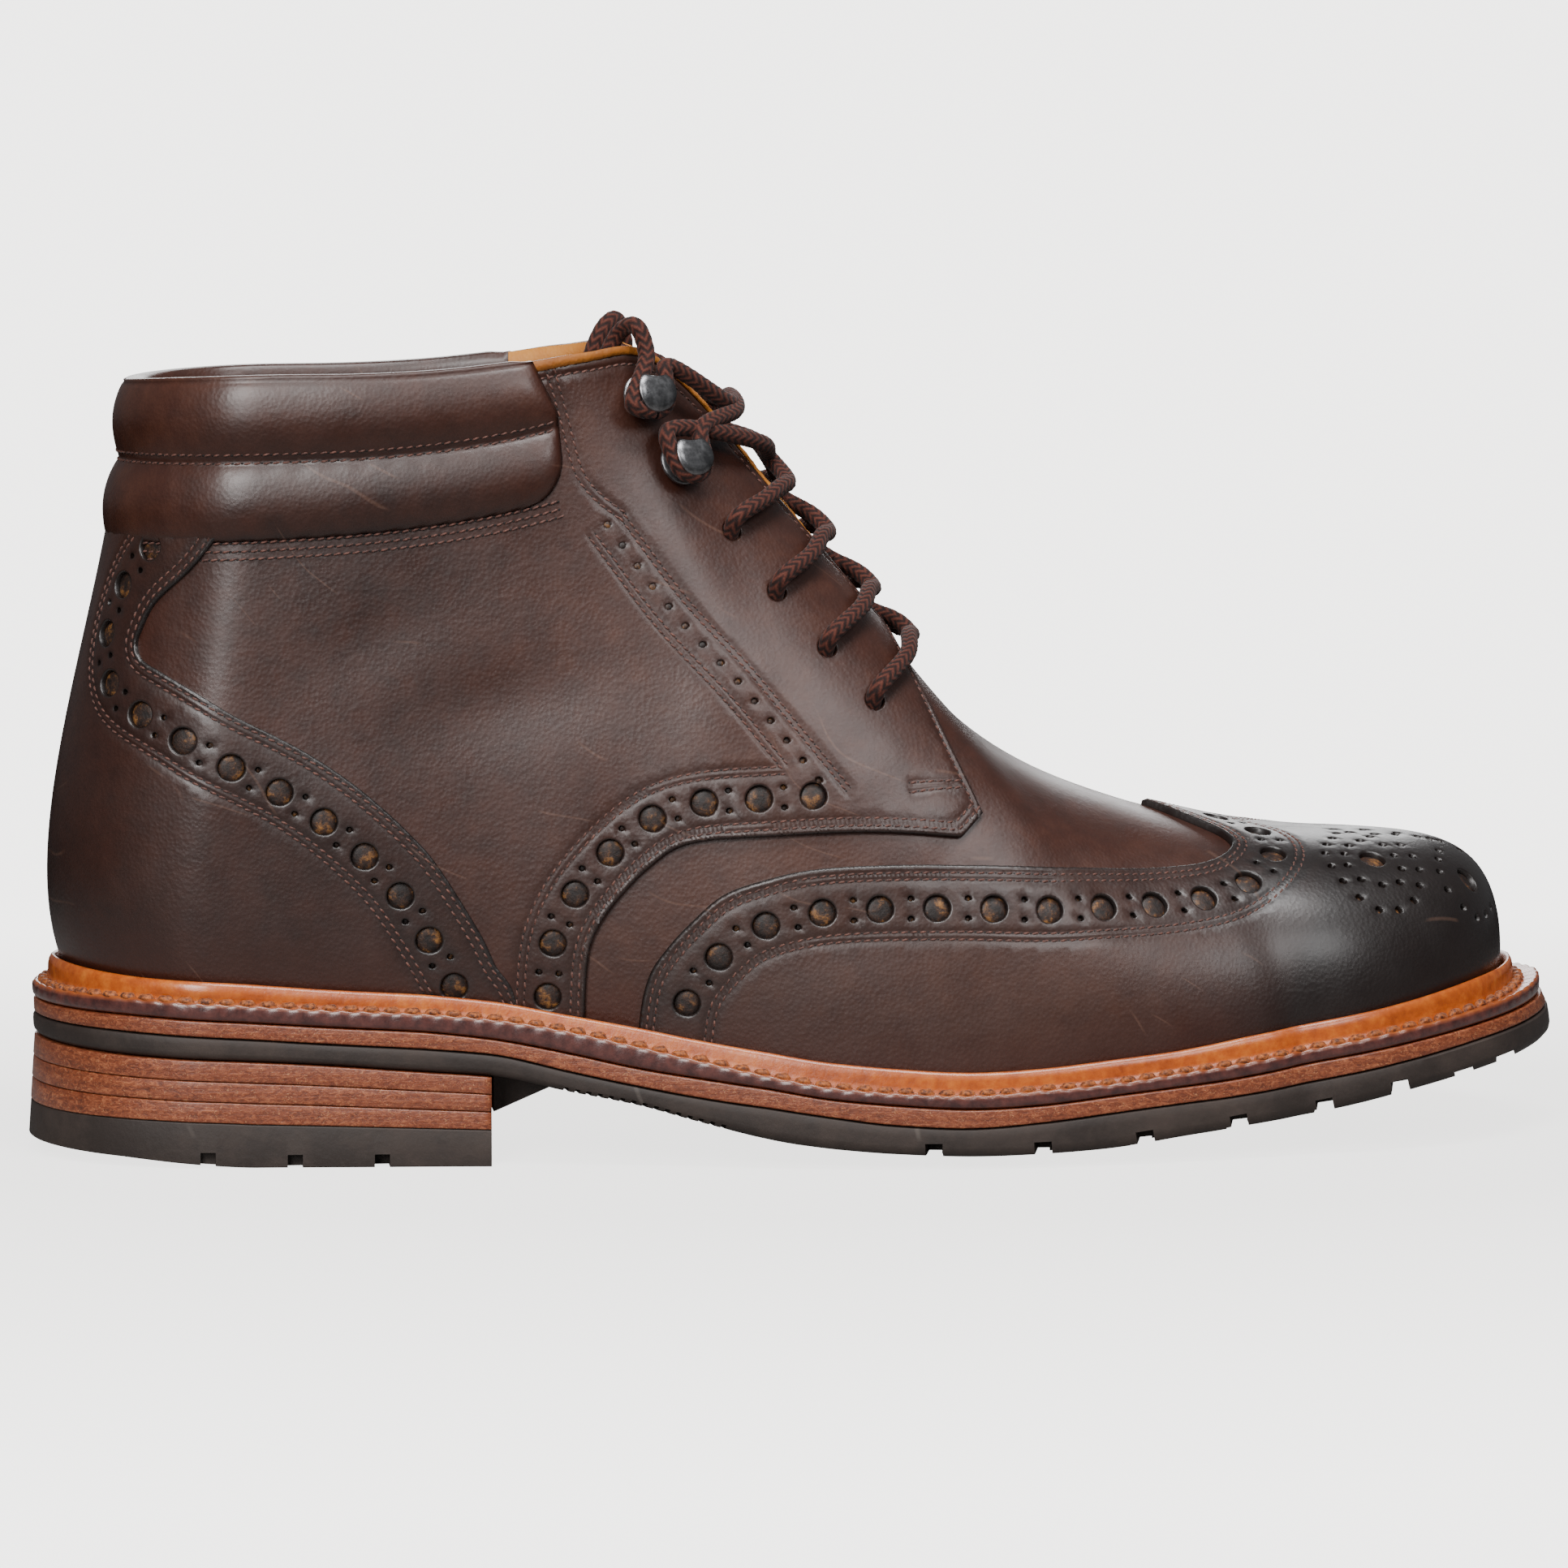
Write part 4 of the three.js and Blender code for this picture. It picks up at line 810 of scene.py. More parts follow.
def path_frames(path, start_across=(0, 0, 1)):
    """Two directions across a path, carried along it without twist."""
    along = unit(np.gradient(path, axis=0))
    across = np.zeros_like(along)
    held = np.array(start_across, float)
    for i, direction in enumerate(along):
        held = held - direction * np.dot(held, direction)
        held /= max(np.linalg.norm(held), 1e-9)
        across[i] = held
    return along, across, np.cross(along, across)


def braid_height(around, along):
    """Herringbone plaits: chevrons in columns round the lace, a groove between the columns."""
    column = np.abs(2 * np.mod(BRAID_COLUMNS * around, 1.0) - 1)
    plait = np.sin(2 * math.pi * (along / BRAID_PITCH + BRAID_SLANT * column))
    groove = np.exp(-((1 - column) / 0.13) ** 2) + 0.5 * np.exp(-(column / 0.12) ** 2)
    return 0.5 + 0.5 * plait - 0.9 * groove


def lace_mesh(path):
    """One braided lace round a path: points, faces and the along and around of each corner."""
    path = even_steps(np.asarray(path), BRAID_STEP)
    _, across, beside = path_frames(path)
    around = np.arange(BRAID_SIDES) / BRAID_SIDES
    along = np.arange(len(path)) * BRAID_STEP
    grid_around, grid_along = np.meshgrid(around, along)
    radius = LACE_DIAMETER / 2 * (0.945 + 0.055 * braid_height(grid_around, grid_along))
    turn = 2 * math.pi * grid_around
    points = (path[:, None] + across[:, None] * (radius * np.cos(turn))[..., None]
              + beside[:, None] * (radius * np.sin(turn))[..., None])
    faces = grid_faces(len(path), BRAID_SIDES, wrap_columns=True, flip=True)
    corners = np.stack([faces % BRAID_SIDES, faces // BRAID_SIDES], -1).astype(float)
    seam = (corners[:, :, 0].max(1) - corners[:, :, 0].min(1)) > BRAID_SIDES / 2
    corners[seam, :, 0] += np.where(corners[seam, :, 0] < BRAID_SIDES / 2, BRAID_SIDES, 0)
    uv = corners * np.array([1 / BRAID_SIDES, BRAID_STEP / BRAID_PITCH])
    count = BRAID_SIDES * len(path)
    caps = [list(range(BRAID_SIDES))[::-1], list(range(count - BRAID_SIDES, count))]
    cap_uv = [np.full((BRAID_SIDES, 2), 0.2) for _ in caps]
    uv = np.vstack([uv.reshape(-1, 2), *cap_uv])
    return points.reshape(-1, 3), faces.tolist() + caps, uv, path


def merge_parts(parts):
    """Several meshes given as points, faces and corner values become one."""
    points = []
    faces = []
    extras = []
    start = 0
    for some_points, some_faces, extra in parts:
        points.append(some_points)
        faces += [[k + start for k in face] for face in some_faces]
        extras.append(extra)
        start += len(some_points)
    return np.vstack(points), faces, np.vstack(extras)


def bar_rise(number, side):
    """Out of an eyelet and up over the facing to the throat's edge."""
    place, up = EYELETS[number]
    over = EDGE_CROSSINGS[number]
    return [
        bare_point(place - 0.02, up - 0.01, side, -3.2),
        bare_point(place, up, side, 0.2),
        bare_point(place + 0.03, up + 0.012, side, LACE_LIFT - 0.3),
        *(bare_point(place + (over - place) * run, up + (0.985 - up) * rise, side, LACE_LIFT + 0.6)
          for rise, run in BAR_COURSE),
        bare_point(over, 0.985, side, LACE_LIFT + 0.4),
    ]


def bar_points(number, side):
    over = EDGE_CROSSINGS[number]
    rise = bar_rise(number, side)
    over_edge = rise[-1]
    under = bare_point(over - 0.7, 1.0, -side, -1.4)
    return [
        *rise,
        (over_edge + throat_middle(over - 0.3, 3.4)) / 2,
        throat_middle(over - 0.38, 1.2),
        under + (throat_middle(over - 0.7, -1.4) - under) * 0.36,
    ]


def top_lace_points(side):
    high, low = HOOKS
    return [
        *bar_rise(0, side),
        throat_middle(9.85, 4),
        bare_point(9.65, 0.985, -side, LACE_LIFT + 1.2),
        hook_point(low, -side, 5.5, -BEND - 0.3),
        hook_point(low, -side, 0, -BEND - 0.2),
        hook_point(low, -side, -0.75 * BEND, -0.75 * BEND),
        hook_point(low, -side, -BEND - 0.2, 0),
        hook_point(low, -side, -0.75 * BEND, 0.75 * BEND),
        hook_point(low, -side, 0, BEND + 0.2),
        hook_point(low, -side, 5.5, BEND + 0.8),
        bare_point(9.3, 0.985, -side, LACE_LIFT + 1.4),
        throat_middle(9.25, 5.6),
        bare_point(9.2, 0.985, side, LACE_LIFT + 1.4),
        hook_point(high, side, 5.5, -BEND - 0.4),
        hook_point(high, side, 0, -BEND - 0.2),
        hook_point(high, side, -0.75 * BEND, -0.75 * BEND),
        hook_point(high, side, -BEND - 0.15, -0.5),
        hook_point(high, side, -BEND - 0.2, -0.1),
    ]


def lace_end_points(side):
    """From behind the top hook, up over the top edge and down inside the leg."""
    high = HOOKS[0]
    over_top = [bare_point(7.8, 1.0, side, out) + np.array([0, 0, 3.6]) for out in (2.2, -2.6)]
    return [
        hook_point(high, side, -BEND - 0.2, 0.4),
        hook_point(high, side, -BEND - 0.1, 1.6),
        hook_point(high, side, -2.6, 5),
        bare_point(7.85, 0.975, side, LACE_LIFT + 0.9),
        *over_top,
        bare_point(7.7, 0.985, side, -5.8),
        bare_point(7.6, 0.94, side, -6.2),
        bare_point(7.5, 0.88, side, -6.4),
    ]


def lace_piece(name, routes, replaced):
    meshes = [lace_mesh(smooth_curve(route, BRAID_STEP)) for route in routes]
    points, faces, uv = merge_parts([mesh[:3] for mesh in meshes])
    piece = new_piece(name, points, faces, MATERIALS["lace"], (replaced,), uv=uv)
    return piece, meshes[0][3]


def make_laces():
    lace_piece("lace_top", [top_lace_points(LATERAL), top_lace_points(MEDIAL)], "lace_crossing_top")
    for number in range(1, len(EYELETS)):
        routes = [bar_points(number, LATERAL), bar_points(number, MEDIAL)]
        lace_piece(f"lace_bar_{number}", routes, f"lace_crossing_{number}")
    for side, word in SIDES:
        name = f"lace_tail_{word}"
        tail, path = lace_piece(name, [lace_end_points(side)], f"lace_end_{word}")
        tip = aglet(f"aglet_{word}", path)
        path = metres(path)


def aglet(name, path):
    """The crimped metal tip on the end of a lace."""
    along = unit(path[-1] - path[-8])
    points, faces = lathe(TIP_SHAPE, TIP_SIDES)
    return new_piece(name, oriented(points, path[-1], -along), faces, MATERIALS["metal"])


def lathe(shape, sides):
    """A shape turned round the z axis; a radius of nought at its ends closes it."""
    turn = corners_round(sides)
    rows = [np.stack([r * np.cos(turn), r * np.sin(turn), np.full(sides, h)], -1) for r, h in shape]
    points, faces, _ = joined(np.vstack(rows), tube_faces(len(rows), sides), tolerance=1e-4)
    return points, turned_out(points, faces)


def oriented(points, centre, up, inward=None):
    """Points made about the z axis, stood on a place with z along up and x towards inward."""
    up = unit(np.asarray(up, float))
    if inward is None:
        inward = np.array([1.0, 0, 0]) if abs(up[0]) < 0.9 else np.array([0, 1.0, 0])
    inward = unit(inward - up * np.dot(inward, up))
    beside = np.cross(up, inward)
    return centre + points[:, :1] * inward + points[:, 1:2] * beside + points[:, 2:3] * up


# Paths over the skin


def spline(points, per_gap):
    """Smooth curve through points of a side view or of the skin."""
    rows = np.asarray(points, float)
    return through(rows, np.linspace(0, len(rows) - 1, (len(rows) - 1) * per_gap + 1))


CHART_PLACES = 761
CHART_UPS = 81
SEARCH_STEPS = 12
SHIFT_STEP = 1.5
LOOP_REACH = 24


class Skin:
    """One side of the upper as a flat chart: a along the sections, b up them, both in millimetres."""

    def __init__(self, side):
        self.side = side
        self.places = np.linspace(0, LAST_PLACE, CHART_PLACES)
        self.ups = np.linspace(0, 1, CHART_UPS)
        self.grid = last_point(self.places[:, None], self.ups[None, :], side)
        self.rise = np.linalg.norm(np.diff(self.grid, axis=1), axis=-1).sum(1)
        self.along = lengths_along(self.grid[:, CHART_ROW])

    def flat(self, spots):
        a = np.interp(spots[:, 0], self.places, self.along)
        b = spots[:, 1] * np.interp(spots[:, 0], self.places, self.rise)
        return np.stack([a, b], -1)

    def spots(self, flat):
        place = np.interp(flat[:, 0], self.along, self.places)
        up = flat[:, 1] / np.interp(place, self.places, self.rise)
        for value, ends in ((place, (0, LAST_PLACE)), (up, (0, 1))):
            for end in ends:
                value[np.abs(value - end) < 1e-5] = end
        return np.stack([place, up], -1)

    def seen(self, side_view):
        """Spots of the skin under the points of a side view, given as x and z."""
        found = []
        for x, z in side_view:
            gap = (self.grid[..., 0] - x) ** 2 + (self.grid[..., 2] - z) ** 2
            i, j = np.unravel_index(np.argmin(gap), gap.shape)
            spot = np.array([self.places[i], self.ups[j]])
            for _ in range(SEARCH_STEPS):
                here = last_point(spot[0], spot[1], self.side)
                along, rise = slopes(spot[0], spot[1], self.side)
                matrix = np.array([[along[0], rise[0]], [along[2], rise[2]]])
                miss = np.array([x - here[0], z - here[2]])
                step = np.linalg.solve(matrix.T @ matrix + 1e-3 * np.eye(2), matrix.T @ miss)
                spot = spot + np.clip(step, -0.2, 0.2)
                spot = np.clip(spot, (0, 0), (LAST_PLACE, 1))
            found.append(spot)
        return np.array(found)

    def points(self, spots, out=0.0):
        return skin(spots[:, 0], np.clip(spots[:, 1], 0, 1), self.side, out)

    def walk(self, spots, spacing):
        """A path in even steps over the skin."""
        length = lengths_along(self.points(spots))
        count = max(2, int(round(length[-1] / spacing)) + 1)
        marks = np.linspace(0, length[-1], count)
        return np.stack([np.interp(marks, length, spots[:, k]) for k in range(2)], -1)

    def shifted(self, spots, distance):
        """A path moved sideways over the skin, to its right as the outer side is seen."""
        steps = max(1, int(math.ceil(abs(distance) / SHIFT_STEP)))
        path = self.walk(spots, 1.0)
        for _ in range(steps):
            place = np.clip(path[:, 0], 0, LAST_PLACE)
            up = np.clip(path[:, 1], 0, 1)
            normal = one_side_normal(place, up, self.side)
            along, rise = slopes(place, up, self.side)
            points = self.points(path)
            heading = unit(np.gradient(points, axis=0))
            target = np.cross(normal, heading) * (self.side * distance / steps)
            aa = (along * along).sum(1)
            ab = (along * rise).sum(1)
            bb = (rise * rise).sum(1)
            ta = (target * along).sum(1)
            tb = (target * rise).sum(1)
            spread = aa * bb - ab * ab + 1e-9
            move = np.stack([(bb * ta - ab * tb) / spread, (aa * tb - ab * ta) / spread], -1)
            path = np.clip(path + move, (0, -0.05), (LAST_PLACE, 1.05))
            path = self.unfolded(path)
            path = self.walk(path, 1.0)
            if len(path) > 8:
                path[1:-1] = 0.25 * path[:-2] + 0.5 * path[1:-1] + 0.25 * path[2:]
        return path

    def unfolded(self, path):
        """A path without the loops that a sideways move leaves at tight corners."""
        flat = self.flat(path)
        i = 0
        kept = []
        while i < len(flat):
            kept.append(i)
            jump = i + 1
            for j in range(min(len(flat) - 2, i + LOOP_REACH), i + 1, -1):
                if crossed(flat[i], flat[min(i + 1, len(flat) - 1)], flat[j], flat[j + 1]):
                    jump = j + 1
                    break
            i = jump
        return path[kept]


def crossed(p, q, r, s):
    """Whether two short segments of a flat path cross."""
    def turn(a, b, c):
        return (b[0] - a[0]) * (c[1] - a[1]) - (b[1] - a[1]) * (c[0] - a[0])
    return turn(p, q, r) * turn(p, q, s) < 0 and turn(r, s, p) * turn(r, s, q) < 0


def meet(path, end, axis, value):
    """A path cut, or run on, so that its first (0) or last (-1) point lies at a place or height."""
    run = path if end == 0 else path[::-1]
    sign = np.sign(run[len(run) // 2, axis] - value)
    inside = (run[:, axis] - value) * sign > 1e-6
    first = int(np.argmax(inside))
    if first > 0:
        a, b = run[first - 1], run[first]
    else:
        a, b = run[0], run[min(4, len(run) - 1)]
    share = np.clip((value - a[axis]) / (b[axis] - a[axis] or 1e-9), -12, 12)
    point = a + (b - a) * share
    point[axis] = value
    run = np.vstack([point, run[first:]])
    return run if end == 0 else run[::-1]


def straight(a, b, step=0.04):
    count = max(2, int(np.abs(np.subtract(b, a)).max() / step) + 1)
    return np.linspace(a, b, count)


SKINS = {side: Skin(side) for side in (LATERAL, MEDIAL)}


def side_view(points, per_gap=6):
    """Points of a side view, as shares of the last, on a smooth curve in x and z."""
    curve = spline(points, per_gap) if per_gap else np.asarray(points, float)
    return np.stack([HEEL_X + LAST_LENGTH * curve[:, 0], LEG_RISE * curve[:, 1]], -1)


def on_skin(side, points, per_gap=6):
    """A side view's curve laid on the skin, without what lies under the welt or over the ridge."""
    chart = SKINS[side]
    spots = chart.seen(side_view(points, per_gap))
    keep = (spots[:, 1] > PANEL_FOOT) & (spots[:, 1] < 0.9999)
    return spots[keep]


# Panels: outline, holes and stitched rows on the chart become one closed sheet of leather

WIDE_HOLE = 1.5
WIDE_CORNERS = 20
PIN_CORNERS = 9
EDGE_DEPTHS = (0.22, 0.55, 1.0)
ROW_OFFSETS = (-0.5, 0.0, 0.5)


def inside(loop, points):
    """Which points lie within a closed flat loop."""
    a = loop
    b = np.roll(loop, -1, axis=0)
    result = np.zeros(len(points), bool)
    for start in range(0, len(points), 4000):
        x = points[start:start + 4000, 0][:, None]
        y = points[start:start + 4000, 1][:, None]
        cross = (a[:, 1] > y) != (b[:, 1] > y)
        rise = np.where(b[:, 1] == a[:, 1], 1e-12, b[:, 1] - a[:, 1])
        at = a[:, 0] + (y - a[:, 1]) / rise * (b[:, 0] - a[:, 0])
        result[start:start + 4000] = (np.sum(cross & (x < at), axis=1) % 2) == 1
    return result


def ring_spots(chart, spot, radius, count):
    """A circle on the skin round a spot."""
    along, rise = slopes(spot[0], spot[1], chart.side)
    normal = unit(np.cross(along, rise))
    first = unit(along)
    second = np.cross(normal, first)
    turn = corners_round(count)
    move = radius * (np.cos(turn)[:, None] * first + np.sin(turn)[:, None] * second)
    matrix = np.linalg.pinv(np.stack([along, rise], -1))
    return spot + move @ matrix.T


class Panel:
    """A panel of the upper on one side: loop is closed, holes are (spot, radius), rows are stitched paths."""

    def __init__(self, side, loop, free):
        self.chart = SKINS[side]
        self.side = side
        self.loop = loop
        self.free = free
        self.holes = []
        self.rows = []

    def borders(self):
        """The outline and the holes' rims on the flat chart, and the edges that they have to keep."""
        chart = self.chart
        flats = [chart.flat(self.loop)]
        for spot, radius in self.holes:
            count = WIDE_CORNERS if radius > WIDE_HOLE else PIN_CORNERS
            flats.append(chart.flat(ring_spots(chart, spot, radius, count)))
        edges = []
        start = 0
        for ring in flats:
            edges += [(start + i, start + (i + 1) % len(ring)) for i in range(len(ring))]
            start += len(ring)
        return flats, edges

    def support(self):
        """Extra points beside the edges, the holes and the stitched rows, where the leather bends."""
        chart = self.chart
        extra = []
        for spot, radius in self.holes:
            count = WIDE_CORNERS if radius > WIDE_HOLE else PIN_CORNERS
            for wider in ((0.2, 0.5) if radius > WIDE_HOLE else (0.35,)):
                extra.append(chart.flat(ring_spots(chart, spot, radius + wider, count)))
        for path in self.free:
            for depth in EDGE_DEPTHS:
                extra.append(chart.flat(chart.walk(chart.shifted(path, depth * self.inward), 0.8)))
        for row in self.rows:
            for depth in ROW_OFFSETS:
                extra.append(chart.flat(chart.walk(chart.shifted(row, depth), 0.9)))
        return np.vstack(extra)

    def mesh(self, spacing=1.5):
        """Spots of the skin and the triangles between them."""
        flats, edges = self.borders()
        rings = flats[1:]
        special = np.vstack(flats)
        low = special.min(0)
        high = special.max(0)
        xs = np.arange(low[0], high[0], spacing)
        ys = np.arange(low[1], high[1], spacing * 0.87)
        gx, gy = np.meshgrid(xs, ys)
        gx = gx + (np.arange(len(ys)) % 2)[:, None] * spacing / 2
        grid = np.stack([gx.ravel(), gy.ravel()], -1)
        near = thinned(self.support(), special, 0.16)
        grid = thinned(grid, np.vstack([special, near]), spacing * 0.55, among=False)
        loose = np.vstack([near, grid])
        loose = loose[inside(flats[0], loose)]
        for ring in rings:
            middle = ring.mean(0)
            reach = np.linalg.norm(ring - middle, axis=1).max()
            close = np.linalg.norm(loose - middle, axis=1) < reach * 1.5
            if close.any():
                drop = np.zeros(len(loose), bool)
                drop[close] = inside(ring, loose[close])
                loose = loose[~drop]
        points = np.vstack([special, loose])
        result = geometry.delaunay_2d_cdt([Vector(p) for p in points], edges, [], 0, 1e-5)
        flat = np.array([tuple(v) for v in result[0]])
        faces = np.array([f for f in result[2] if len(f) == 3])
        middles = flat[faces].mean(1)
        keep = inside(flats[0], middles)
        for ring in rings:
            centre = ring.mean(0)
            reach = np.linalg.norm(ring - centre, axis=1).max()
            close = keep & (np.linalg.norm(middles - centre, axis=1) < reach)
            if close.any():
                keep[close] = ~inside(ring, middles[close])
        return self.chart.spots(flat), faces[keep]


def tree_of(points):
    tree = KDTree(len(points))
    for i, point in enumerate(points):
        tree.insert(point, i)
    tree.balance()
    return tree


def thinned(points, fixed, gap, among=True):
    """Points that keep a gap to fixed ones and, where asked, to one another."""
    tree = tree_of([(p[0], p[1], 0) for p in fixed])
    kept = [p for p in points if tree.find((p[0], p[1], 0))[2] > gap]
    if not among or not kept:
        return np.array(kept).reshape(-1, 2)
    cells = {}
    result = []
    for p in kept:
        key = (int(p[0] // gap), int(p[1] // gap))
        around = [cells.get((key[0] + i, key[1] + j)) for i in (-1, 0, 1) for j in (-1, 0, 1)]
        if all(q is None or (q[0] - p[0]) ** 2 + (q[1] - p[1]) ** 2 > gap * gap for q in around):
            cells[key] = p
            result.append(p)
    return np.array(result)


def nearest(points, samples):
    """Distance from each point to the nearest sample."""
    if not len(samples):
        return np.full(len(points), FAR_OFF)
    tree = tree_of(samples)
    return np.array([tree.find(p)[2] for p in points])


def smooth_step(value, low, high):
    share = np.clip((np.asarray(value, float) - low) / (high - low), 0, 1)
    return share * share * (3 - 2 * share)


ROW_DEPTH = 0.24
ROW_WIDTH = 0.42
EDGE_ROUND = 0.55
HOLE_ROUND = 0.32
LEAST_HEIGHT = 0.12
SHEET_GAP = 0.04
TOE_DARK = (228, 276)
HEEL_DARK = (-26, 4)
TOE_BURNISH = 0.95
LOW_BURNISH_AND_SHADE = 0.3
WELT_SHADE = 18
WELT_WARMTH = 13


def leather_tones(points, dark=0.0):
    """Burnished towards the toe and the heel's back and along what is given as dark, which also carries
    painted shade; darker just over the welt, partly painted shade where the upper meets the welt; redder just
    over the welt.
    """
    above = points[:, 2] - profile_at(points[:, 0])["ridge"]
    burnish_and_shade = TOE_BURNISH * smooth_step(points[:, 0], *TOE_DARK) + dark
    # Painted shade with burnish: darker just over the welt.
    burnish_and_shade = burnish_and_shade + LOW_BURNISH_AND_SHADE * np.exp(-(np.maximum(above, 0) / WELT_SHADE) ** 2)
    burnish_and_shade = burnish_and_shade + LOW_BURNISH_AND_SHADE * smooth_step(-points[:, 0], *HEEL_DARK)
    warm = 0.8 * (1 - smooth_step(above, -2, WELT_WARMTH))
    return {"burnish_and_shade": np.clip(burnish_and_shade, 0, 1), "warm": warm}


def panel_piece(name, panels, top, replaced, material="upper"):
    """Both sides' panels, welded along their seams, as one closed sheet with rounded edges."""
    base = []
    normals = []
    faces = []
    start = 0
    for panel in panels:
        spots, triangles = panel.mesh()
        base.append(panel.chart.points(spots))
        normals.append(skin_normal(spots[:, 0], spots[:, 1], panel.side))
        triangles = triangles if panel.side == LATERAL else triangles[:, ::-1]
        faces += (triangles + start).tolist()
        start += len(spots)
    points, faces, extra = joined(np.vstack(base), faces, {"normal": np.vstack(normals)})
    normal = extra["normal"]
    free = np.vstack([p.chart.points(p.chart.walk(path, 0.15)) for p in panels for path in p.free])
    rows = [p.chart.points(p.chart.walk(row, 0.3)) for p in panels for row in p.rows]
    rows = np.vstack(rows) if rows else np.zeros((0, 3))
    rims = [p.chart.points(ring_spots(p.chart, spot, radius, 40 if radius > WIDE_HOLE else 16))
            for p in panels for spot, radius in p.holes]
    rims = np.vstack(rims) if rims else np.zeros((0, 3))
    to_free = nearest(points, free)
    to_rim = nearest(points, rims)
    to_row = nearest(points, rows)
    height = top(points) if callable(top) else np.full(len(points), float(top))
    for distance, radius in ((to_free, EDGE_ROUND), (to_rim, HOLE_ROUND)):
        short = np.clip(radius - distance, 0, radius)
        height = height - (radius - np.sqrt(np.maximum(radius * radius - short * short, 0)))
    height = height - ROW_DEPTH * np.exp(-(to_row / ROW_WIDTH) ** 2)
    height = height + 0.1 * np.exp(-((to_row - 1.0) / 0.6) ** 2)
    outer = points + normal * np.maximum(height, LEAST_HEIGHT)[:, None]
    inner = points + normal * SHEET_GAP
    all_points, all_faces = walled(outer, inner, faces)
    # Darker at the cut edges, along the stitched rows and round the holes' rims; the rims' darkening is
    # partly painted shade of the holes.
    dark = (0.75 * np.exp(-(to_free / 0.5) ** 2) + 0.22 * np.exp(-(to_row / 1.1) ** 2)
            + 0.6 * np.exp(-(to_rim / 0.35) ** 2) + 0.12 * np.exp(-(to_free / 6.0) ** 2))
    punched = [p.chart.points(spot[None]) for p in panels for spot, radius in p.holes if radius == LARGE_HOLE]
    if punched:
        dark = dark + 0.26 * np.exp(-(nearest(points, np.vstack(punched)) / 6.5) ** 2)
    tones = leather_tones(points, dark)
    tones = {key: np.tile(value, 2) for key, value in tones.items()}
    # The underside and the walls of the cut edges and holes are fully dark: dyed cut edges, and painted shade
    # down inside the holes.
    tones["burnish_and_shade"][len(points):] = 1.0
    piece = new_piece(name, all_points, all_faces, MATERIALS[material], replaced, tones)
    piece.data.set_sharp_from_angle(angle=math.radians(58))
    return piece


# Stitches, needle pits in painted shadow, hole floors with painted shade

STITCH_PITCH = 1.87
STITCH_LENGTH = 1.72
STITCH_RADIUS = 0.235
STITCH_SLANT = 0.2
PIT_RADIUS = 0.25
FLOOR_SIDES = 16
FLOOR_ROWS = ((1.04, -0.12), (0.97, 0.1), (0.7, 0.3), (0.35, 0.44))


def stitch_shape(length, radius, rings=5, sides=6):
    """A short slack strand along x that dips at both ends."""
    share = np.linspace(-1, 1, rings)
    thick = radius * np.sqrt(np.maximum(1 - np.abs(share) ** 2.6, 0.04))
    turn = corners_round(sides)
    rows = [np.stack([np.full(sides, s * length / 2), r * np.cos(turn),
                      r * np.sin(turn) - radius * 1.1 * s * s], -1) for s, r in zip(share, thick)]
    return np.vstack(rows), tube_faces(rings, sides)


def pit_shape(radius, sides=7):
    """A low dark lens of painted shadow that reads as a needle hole."""
    turn = corners_round(sides)
    rim = np.stack([1.25 * radius * np.cos(turn), radius * np.sin(turn), np.full(sides, -0.12)], -1)
    top = np.stack([0.8 * radius * np.cos(turn), 0.64 * radius * np.sin(turn), np.full(sides, 0.03)], -1)
    return np.vstack([rim, top]), tube_faces(2, sides)


def copies(shape, centres, along, up, slant=0.0):
    """One small shape repeated on many frames, as a single mesh."""
    points, faces = shape
    up = unit(up)
    along = unit(along - up * (along * up).sum(-1, keepdims=True))
    beside = np.cross(up, along)
    if slant:
        along, beside = (along * math.cos(slant) + beside * math.sin(slant),
                         beside * math.cos(slant) - along * math.sin(slant))
    placed = (centres[:, None] + points[None, :, :1] * along[:, None] + points[None, :, 1:2] * beside[:, None]
              + points[None, :, 2:3] * up[:, None])
    count = len(points)
    every = [[k + i * count for k in face] for i in range(len(centres)) for face in faces]
    return placed.reshape(-1, 3), every


class Seams:
    """Stitched rows gathered for one region, as a mesh of stitches and one of needle pits in painted shadow.
    """

    def __init__(self, name):
        self.name = name
        self.middles = []
        self.pit_shadows = []

    def row(self, side, spots, height):
        """height: the leather's height over the skin, a number or a function of points."""
        chart = SKINS[side]
        path = chart.walk(spots, STITCH_PITCH / 2)
        place = path[:, 0]
        up = np.clip(path[:, 1], 0, 1)
        base = skin(place, up, side)
        normal = skin_normal(place, up, side)
        lift = height(base) if callable(height) else np.full(len(path), float(height))
        along = unit(np.gradient(base, axis=0))
        points = base + normal * lift[:, None]
        self.middles.append((points[1::2], along[1::2], normal[1::2]))
        self.pit_shadows.append((points[::2], along[::2], normal[::2]))

    def make(self):
        for suffix, groups, shape, material, rise in (
                ("stitches", self.middles, stitch_shape(STITCH_LENGTH, STITCH_RADIUS), "thread", 0.13),
                ("pit_shadows", self.pit_shadows, pit_shape(PIT_RADIUS), "pit_shadow", 0.05)):
            centres, along, normal = (np.concatenate([g[k] for g in groups]) for k in range(3))
            points, faces = copies(shape, centres + normal * (rise - ROW_DEPTH), along, normal, STITCH_SLANT)
            new_piece(f"{self.name}_{suffix}", points, faces, MATERIALS[material])


